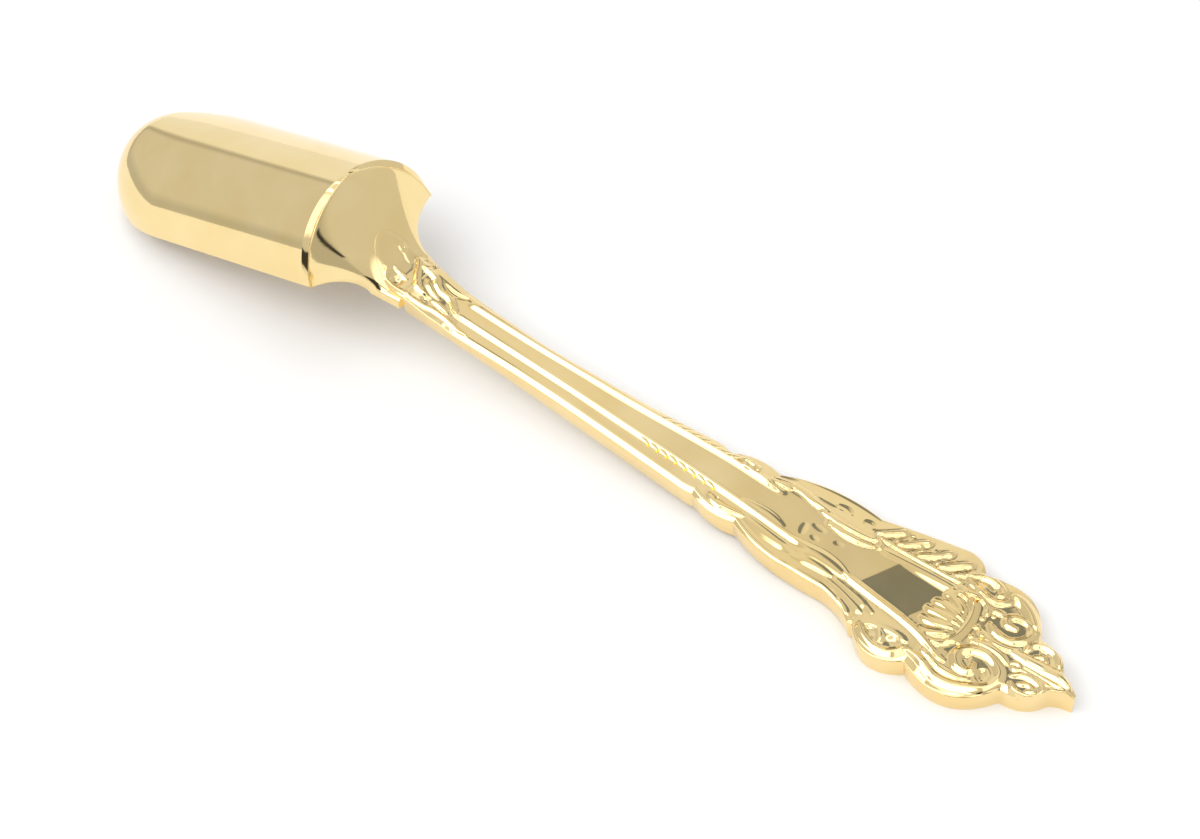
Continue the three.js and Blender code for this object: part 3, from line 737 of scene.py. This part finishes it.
def stroke_path(points):
    """A smooth path through the points of a carving stroke."""
    points = np.array(points)
    padded = np.concatenate([[2 * points[0] - points[1]], points, [2 * points[-1] - points[-2]]])
    path = []
    for a, b, c, d in zip(padded, padded[1:], padded[2:], padded[3:]):
        steps = max(3, int(np.linalg.norm(c - b) / STROKE_PITCH))
        for share in np.linspace(0.0, 1.0, steps, endpoint=False):
            path.append(0.5 * (2 * b + (c - a) * share + (2 * a - 5 * b + 4 * c - d) * share ** 2
                               + (3 * b - a - 3 * c + d) * share ** 3))
    path.append(points[-1])
    return np.array(path)


def carving_strokes():
    """All carving strokes, with the row of flutes between the acanthus lobes."""
    flutes = []
    run, bend = np.array(FLUTE_RUN), np.array(FLUTE_BEND)
    for number in range(ACANTHUS_FLUTES):
        root = np.array(FLUTE_START) + np.array(FLUTE_PITCH) * number
        path = [tuple(root), tuple(root + run / 2 + bend), tuple(root + run)]
        flutes.append(("ridge", FLUTE_HALF_WIDTH, FLUTE_HEIGHT, path))
    return CARVING + flutes


def carved(from_tip, across):
    """Height that the carving strokes add to the face, and the depth that they cut out of it."""
    raised = np.zeros_like(from_tip)
    cut = np.zeros_like(from_tip)
    for form, wide, high, points in carving_strokes():
        path = stroke_path(points)
        share = np.linspace(0.0, 1.0, len(path))
        # A ridge narrows at its two ends; a leaf or a hollow tapers all along.
        if form == "ridge":
            body = np.minimum(1.0, 0.5 + 5.0 * np.minimum(share, 1.0 - share))
        else:
            body = np.sqrt(np.sin(math.pi * (0.1 + 0.82 * share)))
        low, top = path.min(axis=0) - wide, path.max(axis=0) + wide
        near = (from_tip > low[0]) & (from_tip < top[0]) & (across > low[1]) & (across < top[1])
        if not near.any():
            continue
        away = np.hypot(from_tip[near][:, None] - path[:, 0], across[near][:, None] - path[:, 1])
        away = away / (wide * body)
        nearest = away.argmin(axis=1)
        away = away[np.arange(len(away)), nearest]
        round_top = np.clip(1.0 - away * away, 0.0, 1.0)
        if form == "ridge":
            raised[near] = np.maximum(raised[near], high * roof(away))
        elif form == "leaf":
            raised[near] = np.maximum(raised[near], high * body[nearest] * round_top)
        else:
            cut[near] = np.maximum(cut[near], high * round_top)
    return raised, cut


def handle_face(x, across, half):
    """Height of the handle's face over its edge: flat panel between beads, flanks, rim and carving."""
    from_tip = HANDLE_LENGTH - x
    side = np.abs(across)
    near = across < 0.0
    from_edge = half - side
    crest = np.where(near, bead_offset(NEAR_BEAD, from_tip), bead_offset(FAR_BEAD, from_tip))
    outer = side - crest
    room = np.maximum(half - crest, LEAST_ROOM)
    beaded = 1.0 - smoothstep(BEAD_START - 1.0, BEAD_START + 1.0, from_tip)
    bead_end = np.where(near, BEAD_END, FAR_BEAD_END)
    beaded = beaded * smoothstep(bead_end - 2.0, bead_end + 1.0, from_tip)

    def bead(rise, rise_run, step, step_run):
        return rise * ramp(outer / rise_run + 1.0) - step * ramp(outer / step_run)

    def flank(drop, step_run):
        return drop * ramp((outer - step_run) / np.maximum(room - step_run, LEAST_FLANK))

    near_bead = bead(NEAR_BEAD_UPSTAND, NEAR_BEAD_UPSTAND_RUN, NEAR_BEAD_STEP, NEAR_BEAD_STEP_RUN)
    far_bead = bead(FAR_BEAD_RISE, FAR_BEAD_RISE_RUN, FAR_BEAD_STEP, FAR_BEAD_STEP_RUN)
    rim_size = RIM_END_SIZE + RIM_GAIN * smoothstep(*RIM_GROWTH, from_tip)
    rim_run = RIM_STEP_RUN * rim_size
    rim = RIM_UPSTAND * ramp((rim_run + RIM_UPSTAND_RUN - from_edge) / RIM_UPSTAND_RUN)
    rim = rim - RIM_STEP * rim_size * ramp((rim_run - from_edge) / rim_run)
    rim = rim * (1.0 - smoothstep(*RIM_NECK_FADE, from_tip))
    near_side = beaded * near_bead - flank(NEAR_FLANK_DROP, NEAR_BEAD_STEP_RUN) + rim
    far_side = beaded * far_bead - flank(FAR_FLANK_DROP, FAR_BEAD_STEP_RUN)
    end_side = -END_FLANK_DROP * np.clip(outer / room, 0.0, 1.0) ** END_FLANK_CURVE
    stem = smoothstep(*STEM_FADE, from_tip)
    profile = end_side + (np.where(near, near_side, far_side) - end_side) * stem
    crown = CROWN_HEIGHT - NECK_CROWN_DROP * (1.0 - smoothstep(*NECK_CROWN_FADE, x))
    crown = (crown + profile) * smoothstep(0.0, CROWN_FADE, from_tip)
    # Two crossing waves keep the hand-polished panel from being a perfect mirror.
    ripple = np.sin(0.62 * x + 0.5 * across) + np.sin(0.37 * x - 1.1 * across + 1.3)
    ground = GROUND_DEPTH * (1.0 - smoothstep(*GROUND_FADE, from_tip))
    ground = ground * smoothstep(*GROUND_TIP_FADE, from_tip)
    fold = CARTOUCHE_FOLD - CARTOUCHE_FOLD_SLANT * across
    dish = CARTOUCHE_SLOPE * np.clip(fold - from_tip, 0.0, CARTOUCHE_LENGTH)
    dish = dish * smoothstep(*CARTOUCHE_FADE, from_tip) * (1.0 - smoothstep(*CARTOUCHE_SIDE_FADE, outer))
    raised, cut = carved(from_tip, across)
    carving = (raised - cut) * smoothstep(0.0, CARVING_EDGE_FADE, from_edge)
    return crown + PANEL_UNEVENNESS * ripple - ground - dish + carving


def stations():
    """Rows along the handle."""
    rows = [np.arange(start, end, pitch) for start, end, pitch in FACE_STRETCHES]
    return np.append(np.concatenate(rows), HANDLE_LENGTH)


def settle(heights, passes):
    """Heights evened out over their neighbours along and across the handle."""
    even = heights.copy()
    for _ in range(passes):
        even[1:-1] = 0.25 * even[:-2] + 0.5 * even[1:-1] + 0.25 * even[2:]
        even[:, 1:-1] = 0.25 * even[:, :-2] + 0.5 * even[:, 1:-1] + 0.25 * even[:, 2:]
    return even


def drop_onto(piece, x, y):
    """Height of a piece's upper surface under each point, or not a number beside it."""
    points = [vertex.co for vertex in piece.data.vertices]
    surface = BVHTree.FromPolygons(points, [list(face.vertices) for face in piece.data.polygons])
    heights = np.full(x.shape, np.nan)
    for place in np.ndindex(x.shape):
        start = Vector(((x[place] + NECK_X) * MM, y[place] * MM, ABOVE_ALL * MM))
        hit = surface.ray_cast(start, Vector((0.0, 0.0, -1.0)))[0]
        if hit is not None:
            heights[place] = hit.z / MM
    return heights


def handle_casting(heel, finish):
    """The cast handle: a carved face over its lobed outline, a drafted wall and a plain arched underside."""
    x = stations()
    near = half_width(edge_line(NEAR_EDGE), x)
    far = half_width(edge_line(FAR_EDGE), x)
    share = np.linspace(-1.0, 1.0, FACE_STEPS)
    share = share * (1.0 + EDGE_CROWDING - EDGE_CROWDING * share ** 2)
    y = np.where(share < 0.0, near[:, None] * share, far[:, None] * share)
    half = np.where(share < 0.0, near[:, None], far[:, None]) * np.ones_like(y)
    rows = x[:, None] * np.ones_like(y)
    from_edge = half - np.abs(y)
    corner = np.clip(1.0 - from_edge / EDGE_ROUND, 0.0, 1.0)
    face = handle_face(rows, y, half) - EDGE_ROUND * (1.0 - np.sqrt(1.0 - corner ** 2))
    top = edge_top(x)[:, None] + face

    # The cap lies on the heel as a thin skin and rises into the neck.
    over_tongue = x < 0.0
    tongue = np.zeros_like(top)
    found = drop_onto(heel, rows[over_tongue], y[over_tongue])
    beside = tongue_floor(rows[over_tongue]) + BESIDE_TONGUE_RISE
    tongue[over_tongue] = np.where(np.isnan(found), beside, found)
    raised, cut = carved(HANDLE_LENGTH - rows, y)
    skin = CAP_SKIN * smoothstep(0.0, CAP_SKIN_RUN, from_edge) - CAP_EDGE_SINK
    cap = tongue + skin + (raised - CAP_CUT_SHARE * cut) * smoothstep(0.0, CAP_CARVING_FADE, from_edge)
    blend = smoothstep(*CAP_BLEND, rows)
    top[over_tongue] = (cap + (np.maximum(top, cap) - cap) * blend)[over_tongue]
    bottom = np.repeat(underside(np.maximum(x, 0.0))[:, None], 2, axis=1)
    lapped = x < -SEAM_GAP
    bottom[lapped] = tongue[lapped][:, [0, -1]] - CAP_OVERLAP

    loops = []
    down = np.linspace(0.0, 1.0, WALL_STEPS + 2)[1:]
    for i, place in enumerate(x):
        near_foot, far_foot = bottom[i]
        draft = min(WALL_DRAFT, 0.5 * min(near[i], far[i]))
        lean = draft * down ** WALL_CURVE
        along = np.full(len(down), place)
        far_wall = np.stack([along, far[i] - lean, top[i, -1] + (far_foot - top[i, -1]) * down], axis=-1)
        near_wall = np.stack([along, lean - near[i], top[i, 0] + (near_foot - top[i, 0]) * down], axis=-1)
        base = []
        for step in np.linspace(0.0, 1.0, BASE_STEPS + 2)[1:-1]:
            base_y = (far[i] - draft) + (draft - near[i] - far[i] + draft) * step
            base_z = far_foot + (near_foot - far_foot) * step
            if lapped[i]:
                base_z = np.interp(base_y, y[i], tongue[i]) - CAP_OVERLAP
            base.append((place, base_y, base_z))
        face_line = np.stack([rows[i], y[i], top[i]], axis=-1)
        loops.append(np.concatenate([face_line, far_wall, base, near_wall[::-1]]))
    piece = lofted("handle_casting", loops, finish)
    # Painted shade: each point of the face that lies below its evened-out surroundings is darkened in the
    # finish.
    recess_shade = np.zeros((len(x), loops[0].shape[0]))
    recess_shade[:, :FACE_STEPS] = np.clip((settle(top, RECESS_SHADE_PASSES) - top) / RECESS_SHADE_DEPTH, 0.0, 1.0)
    shade = piece.data.attributes.new("recess_shade", "FLOAT", "POINT")
    shade.data.foreach_set("value", recess_shade.astype(np.float32).ravel())
    piece.data.set_sharp_from_angle(angle=CAST_SHARP_EDGE)
    return piece, (x, y, top)


def height_on(face, x, y):
    """Height of the handle's carved face at a point."""
    rows, across, top = face
    i = int(np.clip(np.searchsorted(rows, x), 1, len(rows) - 1))
    before = np.interp(y, across[i - 1], top[i - 1])
    after = np.interp(y, across[i], top[i])
    share = (x - rows[i - 1]) / (rows[i] - rows[i - 1])
    return before + (after - before) * share


def path_carrier(points):
    """A curve object through the points, for a tree that follows a path."""
    curve = bpy.data.curves.new("carrier", "CURVE")
    curve.dimensions = "3D"
    line = curve.splines.new("POLY")
    line.points.add(len(points) - 1)
    for point, place in zip(line.points, points):
        point.co = (*place, 1.0)
    return linked("carrier", curve)


def filler_seam(name, path, radius, finish):
    """A seam of brazing filler along a path, a little uneven as filler sets."""
    sizes = {"Pitch": SEAM_PITCH, "Radius": radius, "Unevenness": SEAM_UNEVENNESS * radius}
    tree, given = geometry_tree("filler_seam_rule", sizes)
    spread = add_node(
        tree, "GeometryNodeResampleCurve", {"mode": "LENGTH"}, Curve=given["Geometry"], Length=given["Pitch"]
    )
    ring = add_node(tree, "GeometryNodeCurvePrimitiveCircle", Resolution=12, Radius=given["Radius"])
    sweep = add_node(
        tree, "GeometryNodeCurveToMesh",
        Curve=spread.outputs["Curve"], Profile_Curve=ring.outputs["Curve"], Fill_Caps=True,
    )
    ripple = add_node(tree, "ShaderNodeTexNoise", {"noise_dimensions": "4D"}, W=3.0, Scale=0.9, Detail=1.0)
    swell = (Field(tree, ripple.outputs["Fac"]) - 0.5) * given["Unevenness"]
    normal = add_node(tree, "GeometryNodeInputNormal")
    push = add_node(
        tree, "ShaderNodeVectorMath", {"operation": "SCALE"}, Vector=normal.outputs["Normal"], Scale=swell
    )
    shift = add_node(
        tree, "GeometryNodeSetPosition", Geometry=sweep.outputs["Mesh"], Offset=push.outputs["Vector"]
    )
    finish_tree(tree, given, shift.outputs["Geometry"])
    piece = grown(name, path_carrier(path), tree, sizes, finish)
    outward(piece)
    return piece


def leaf_tips(name, path, turn, finish):
    """Small pointed leaves set one behind the other along a bead."""
    sizes = dict(LEAF_TIP_SIZES, Turn=turn)
    tree, given = geometry_tree("leaf_tip_rule", sizes)
    spread = add_node(
        tree, "GeometryNodeResampleCurve", {"mode": "LENGTH"}, Curve=given["Geometry"], Length=given["Pitch"]
    )
    ball = add_node(tree, "GeometryNodeMeshIcoSphere", Subdivisions=3)
    along, aside, above = place_fields(tree)
    taper = 0.62 - along * 0.38
    leaf = add_node(
        tree, "ShaderNodeCombineXYZ", X=along * given["Length"], Y=aside * taper * given["Width"],
        Z=above * taper * given["Thickness"],
    )
    shape = add_node(
        tree, "GeometryNodeSetPosition", Geometry=ball.outputs["Mesh"], Position=leaf.outputs["Vector"]
    )
    heading = add_node(tree, "GeometryNodeInputTangent")
    follow = add_node(
        tree, "FunctionNodeAlignRotationToVector", {"axis": "X", "pivot_axis": "Z"},
        Vector=heading.outputs["Tangent"],
    )
    sideways = add_node(tree, "FunctionNodeAxisAngleToRotation", Axis=(0.0, 0.0, 1.0), Angle=given["Turn"])
    both = add_node(
        tree, "FunctionNodeRotateRotation", {"rotation_space": "LOCAL"},
        Rotation=follow.outputs["Rotation"], Rotate_By=sideways.outputs["Rotation"],
    )
    row = add_node(
        tree, "GeometryNodeInstanceOnPoints", Points=spread.outputs["Curve"],
        Instance=shape.outputs["Geometry"], Rotation=both.outputs["Rotation"],
    )
    finish_tree(tree, given, row.outputs["Instances"])
    return grown(name, path_carrier(path), tree, sizes, finish)


def pellets(face, finish):
    """Round pellets between the palmette and the tip leaf."""
    places = [(HANDLE_LENGTH - from_tip, across) for from_tip, across, _ in PELLETS]
    mesh = bpy.data.meshes.new("carrier")
    mesh.from_pydata([(x, y, height_on(face, x, y)) for x, y in places], [], [])
    radius = mesh.attributes.new("pellet_radius", "FLOAT", "POINT")
    radius.data.foreach_set("value", [size for _, _, size in PELLETS])
    sizes = {"Flatness": PELLET_FLATNESS}
    tree, given = geometry_tree("pellet_rule", sizes)
    ball = add_node(tree, "GeometryNodeMeshIcoSphere", Radius=1.0, Subdivisions=4)
    flat = add_node(tree, "ShaderNodeCombineXYZ", X=1.0, Y=1.0, Z=given["Flatness"])
    press = add_node(
        tree, "GeometryNodeTransform", Geometry=ball.outputs["Mesh"], Scale=flat.outputs["Vector"]
    )
    size = add_node(tree, "GeometryNodeInputNamedAttribute", Name="pellet_radius")
    row = add_node(
        tree, "GeometryNodeInstanceOnPoints", Points=given["Geometry"],
        Instance=press.outputs["Geometry"], Scale=size.outputs["Attribute"],
    )
    finish_tree(tree, given, row.outputs["Instances"])
    return grown("pellets", linked("carrier", mesh), tree, sizes, finish)


def polished_gold(name, pale, deep, polish):
    """Gold plate: slight colour drift, uneven polish, fine rubbing marks, and painted shade that darkens the
    recesses.
    """
    material = bpy.data.materials.new(name)
    material.use_nodes = True
    tree = material.node_tree
    shader = tree.nodes["Principled BSDF"]
    place = add_node(tree, "ShaderNodeTexCoord")

    def noise(scale, detail, stretch=(1.0, 1.0, 1.0)):
        mapping = add_node(tree, "ShaderNodeMapping", Vector=place.outputs["Object"], Scale=stretch)
        texture = add_node(
            tree, "ShaderNodeTexNoise", Vector=mapping.outputs["Vector"], Scale=scale, Detail=detail
        )
        return texture.outputs["Fac"]

    # The colour drifts over about 7 mm, the polish over 2 mm and the rubbing marks over 1 mm.
    drift = add_node(tree, "ShaderNodeValToRGB", Fac=noise(140.0, 3.0))
    for stop, position, colour in zip(drift.color_ramp.elements, (0.3, 0.7), (deep, pale)):
        stop.position = position
        stop.color = (*colour, 1.0)
    # Painted shade: the handle's recesses are mixed towards a dark olive tint.
    recess_shade = add_node(tree, "ShaderNodeAttribute", {"attribute_name": "recess_shade"})
    painted_recess_shade = add_node(
        tree, "ShaderNodeMix", {"data_type": "RGBA"},
        Factor=Field(tree, recess_shade.outputs["Fac"]) * RECESS_SHADE_SHARE, A=drift.outputs["Color"], B=RECESS_SHADE_TINT,
    )
    smoothness = add_node(
        tree, "ShaderNodeMapRange", Value=noise(420.0, 4.0), From_Min=0.3, From_Max=0.75,
        To_Min=polish[0], To_Max=polish[1],
    )
    rubbing = add_node(
        tree, "ShaderNodeBump", Strength=0.05, Distance=0.00004, Height=noise(900.0, 2.0, (0.25, 1.0, 1.0))
    )
    shader.inputs["Metallic"].default_value = 1.0
    connect(tree, painted_recess_shade.outputs["Result"], shader.inputs["Base Color"])
    connect(tree, smoothness.outputs["Result"], shader.inputs["Roughness"])
    connect(tree, rubbing.outputs["Normal"], shader.inputs["Normal"])
    return material


def table_top():
    """A pale table, lit evenly, that keeps the scoop's shadow."""
    mesh = bpy.data.meshes.new("table_top")
    corners = [(-1, -1), (1, -1), (1, 1), (-1, 1)]
    mesh.from_pydata([(x * TABLE_REACH, y * TABLE_REACH, 0) for x, y in corners], [], [(0, 1, 2, 3)])
    material = bpy.data.materials.new("white_table")
    material.use_nodes = True
    tree = material.node_tree
    shader = tree.nodes["Principled BSDF"]
    shader.inputs["Roughness"].default_value = 0.7
    shader.inputs["Specular IOR Level"].default_value = 0.2
    place = add_node(tree, "ShaderNodeTexCoord")
    grain = add_node(tree, "ShaderNodeTexNoise", Vector=place.outputs["Object"], Scale=60.0)
    tone = add_node(tree, "ShaderNodeValToRGB", Fac=grain.outputs["Fac"])
    for stop, grey in zip(tone.color_ramp.elements, TABLE_GREYS):
        stop.color = (grey, grey, grey, 1.0)
    connect(tree, tone.outputs["Color"], shader.inputs["Base Color"])
    seen = add_node(tree, "ShaderNodeLightPath")
    direct = Field(tree, seen.outputs["Is Camera Ray"]).at_least(Field(tree, seen.outputs["Is Glossy Ray"]))
    glow = add_node(tree, "ShaderNodeEmission", Strength=direct * TABLE_GLOW)
    both = add_node(tree, "ShaderNodeAddShader")
    connect(tree, shader.outputs[0], both.inputs[0])
    connect(tree, glow.outputs[0], both.inputs[1])
    connect(tree, both.outputs[0], tree.nodes["Material Output"].inputs["Surface"])
    mesh.materials.append(material)
    return linked("table_top", mesh)


# Cards of the studio around the scoop, each in front of those before it. Degrees.
# Name, azimuth from and to, elevation from and to, soft edge, colour and, for one, a slant.
ROOM_COLOUR = (0.70, 0.70, 0.71)
STUDIO = [
    ("near wall", 225, 270, -91, 34, 5, (0.92, 0.92, 0.92)),
    ("near wall, right", -91, -60, -91, 34, 5, (0.92, 0.92, 0.92)),
    ("dim low wall", 160, 226, -2, 8, 3, (0.56, 0.57, 0.58)),
    ("room behind the tip", -20, 100, -91, 62, 8, (0.72, 0.72, 0.72)),
    ("grey wall in front", -36, 20, -5, 12, 2, (0.52, 0.52, 0.52)),
    ("dark screen in front", -78, -36, 8, 33, 1.2, (0.05, 0.05, 0.05)),
    ("dark bar in front", -12, 6, 9.0, 11.2, 0.6, (0.04, 0.04, 0.04), -0.22),
    ("white card in front", -38, 12, 29, 78, 2, (1.7, 1.7, 1.7)),
    ("backdrop", 100, 160, -91, 42, 1, (0.93, 0.94, 0.95)),
    ("dark doorway behind", 119, 136, -3, 33, 1.5, (0.26, 0.26, 0.25)),
    ("dark edge of the backdrop", 160, 163, -91, 30, 1.5, (0.5, 0.5, 0.5)),
    ("ceiling", -200, 400, 66, 91, 6, (0.82, 0.82, 0.82)),
    ("ceiling behind", 119.5, 166, 41, 64, 3, (0.88, 0.88, 0.88)),
    ("dark flag", 84, 115.6, 43, 61, 0.4, (0.25, 0.28, 0.33)),
    ("soft box beside", 200, 272, 40, 66, 1.5, (3.4, 3.4, 3.4)),
    ("soft box beside, right", -92, -50, 40, 66, 1.5, (3.4, 3.4, 3.4)),
    ("soft box overhead", -200, 400, 72, 91, 2, (2.8, 2.8, 2.8)),
    ("opening in the overhead box", -200, 400, 78, 91, 2, (0.95, 0.95, 0.95)),
]


def studio_light():
    """Light from the studio: each card takes the place of what lies behind it."""
    world = bpy.data.worlds.new("studio")
    world.use_nodes = True
    bpy.context.scene.world = world
    tree = world.node_tree
    place = add_node(tree, "ShaderNodeTexCoord")
    parts = add_node(tree, "ShaderNodeSeparateXYZ", Vector=place.outputs["Generated"])
    x, y, z = (Field(tree, parts.outputs[axis]) for axis in "XYZ")
    turn = x.math("ARCTAN2", y, x) * (180 / math.pi)
    turn = turn + x.math("LESS_THAN", turn, -90.0) * 360.0
    lift = x.math("ARCSINE", z) * (180 / math.pi)
    colour = (*ROOM_COLOUR, 1.0)
    for _, turn_from, turn_to, lift_from, lift_to, soft, tint, *slant in STUDIO:
        height = lift
        if slant:
            height = lift - (turn - (turn_from + turn_to) / 2) * slant[0]
        inside = turn.between(turn_from - soft, turn_from + soft)
        inside = inside * (1.0 - turn.between(turn_to - soft, turn_to + soft))
        inside = inside * height.between(lift_from - soft, lift_from + soft)
        inside = inside * (1.0 - height.between(lift_to - soft, lift_to + soft))
        card = add_node(
            tree, "ShaderNodeMix", {"data_type": "RGBA"}, Factor=inside, A=colour, B=(*tint, 1.0)
        )
        colour = card.outputs["Result"]
    connect(tree, colour, tree.nodes["Background"].inputs["Color"])


def photo_camera():
    """The camera at the photograph's viewing angle."""
    pitch, heading, roll = CAMERA_PITCH, CAMERA_HEADING, CAMERA_ROLL
    ahead = math.cos(pitch)
    forward = Vector((ahead * math.cos(heading), ahead * math.sin(heading), -math.sin(pitch)))
    level = forward.cross(Vector((0.0, 0.0, 1.0))).normalized()
    upright = level.cross(forward)
    right = level * math.cos(roll) + upright * math.sin(roll)
    up = upright * math.cos(roll) - level * math.sin(roll)
    turned = Matrix((right, up, -forward)).transposed().to_4x4()
    lens = bpy.data.cameras.new("camera")
    lens.sensor_fit = "HORIZONTAL"
    lens.sensor_width = CAMERA_SENSOR
    lens.lens = CAMERA_LENS
    lens.clip_start = 0.01
    camera = linked("camera", lens)
    camera.matrix_world = Matrix.Translation(Vector(CAMERA_PLACE) * MM) @ turned
    bpy.context.scene.camera = camera


def bead_path(points, side, face):
    """Path along a bead on the handle's face, where the leaf tips lie."""
    path = []
    for from_tip in np.linspace(LEAF_TIP_FROM, LEAF_TIP_TO, 40):
        x = HANDLE_LENGTH - from_tip
        y = side * (float(bead_offset(points, from_tip)) + LEAF_TIP_OUTWARDS)
        path.append((x, y, height_on(face, x, y) + LEAF_TIP_LIFT))
    return path


def cap_outline(heel):
    """Path of the filler where the handle's cap meets the heel."""
    share = np.linspace(-1.0, 1.0, 90)
    x = -(CAP_LENGTH - 0.02) * np.sqrt(np.clip(1.0 - np.abs(share) ** 1.6, 0.0, 1.0)) - SEAM_GAP / 2
    x = np.maximum(x, 0.02 - CAP_LENGTH)
    y = np.sign(share) * half_width(edge_line(NEAR_EDGE), x)
    heights = drop_onto(heel, x, y)
    return [(a, b, c - NECK_SEAM_SINK) for a, b, c in zip(x, y, heights) if not np.isnan(c)]


gold = polished_gold("gold_plate", (0.95, 0.76, 0.40), (0.91, 0.70, 0.33), PLATE_POLISH)
cast_gold = polished_gold("cast_gold_plate", (0.95, 0.75, 0.39), (0.90, 0.68, 0.31), PLATE_POLISH)
filler = polished_gold("gold_plated_filler", (0.90, 0.70, 0.35), (0.80, 0.58, 0.26), FILLER_POLISH)

bowl = bowl_shell(gold)
heel = heel_saddle(gold)
handle, face = handle_casting(heel, cast_gold)
back_edge = [bowl_point(0.02, angle, bevel_foot(angle)) for angle in np.linspace(0.0, math.pi, 160)]
heel_seam = filler_seam("heel_seam", back_edge, HEEL_SEAM_RADIUS, filler)
neck_seam = filler_seam("neck_seam", cap_outline(heel), NECK_SEAM_RADIUS, filler)
far_tips = leaf_tips("far_leaf_tips", bead_path(FAR_BEAD, 1.0, face), LEAF_TIP_TURN, cast_gold)
near_tips = leaf_tips("near_leaf_tips", bead_path(NEAR_BEAD, -1.0, face), -LEAF_TIP_TURN, cast_gold)
round_pellets = pellets(face, cast_gold)

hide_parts("scoop_bowl")
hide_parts("heel_plate")
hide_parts("handle")
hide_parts("heel_braze")
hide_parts("neck_braze")
for piece in (bowl, heel, handle, far_tips, near_tips, round_pellets):
    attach(piece, "root")
for piece in (heel_seam, neck_seam):
    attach(piece, "root")

table_top()
studio_light()
photo_camera()
bpy.context.scene.view_settings.view_transform = "Standard"
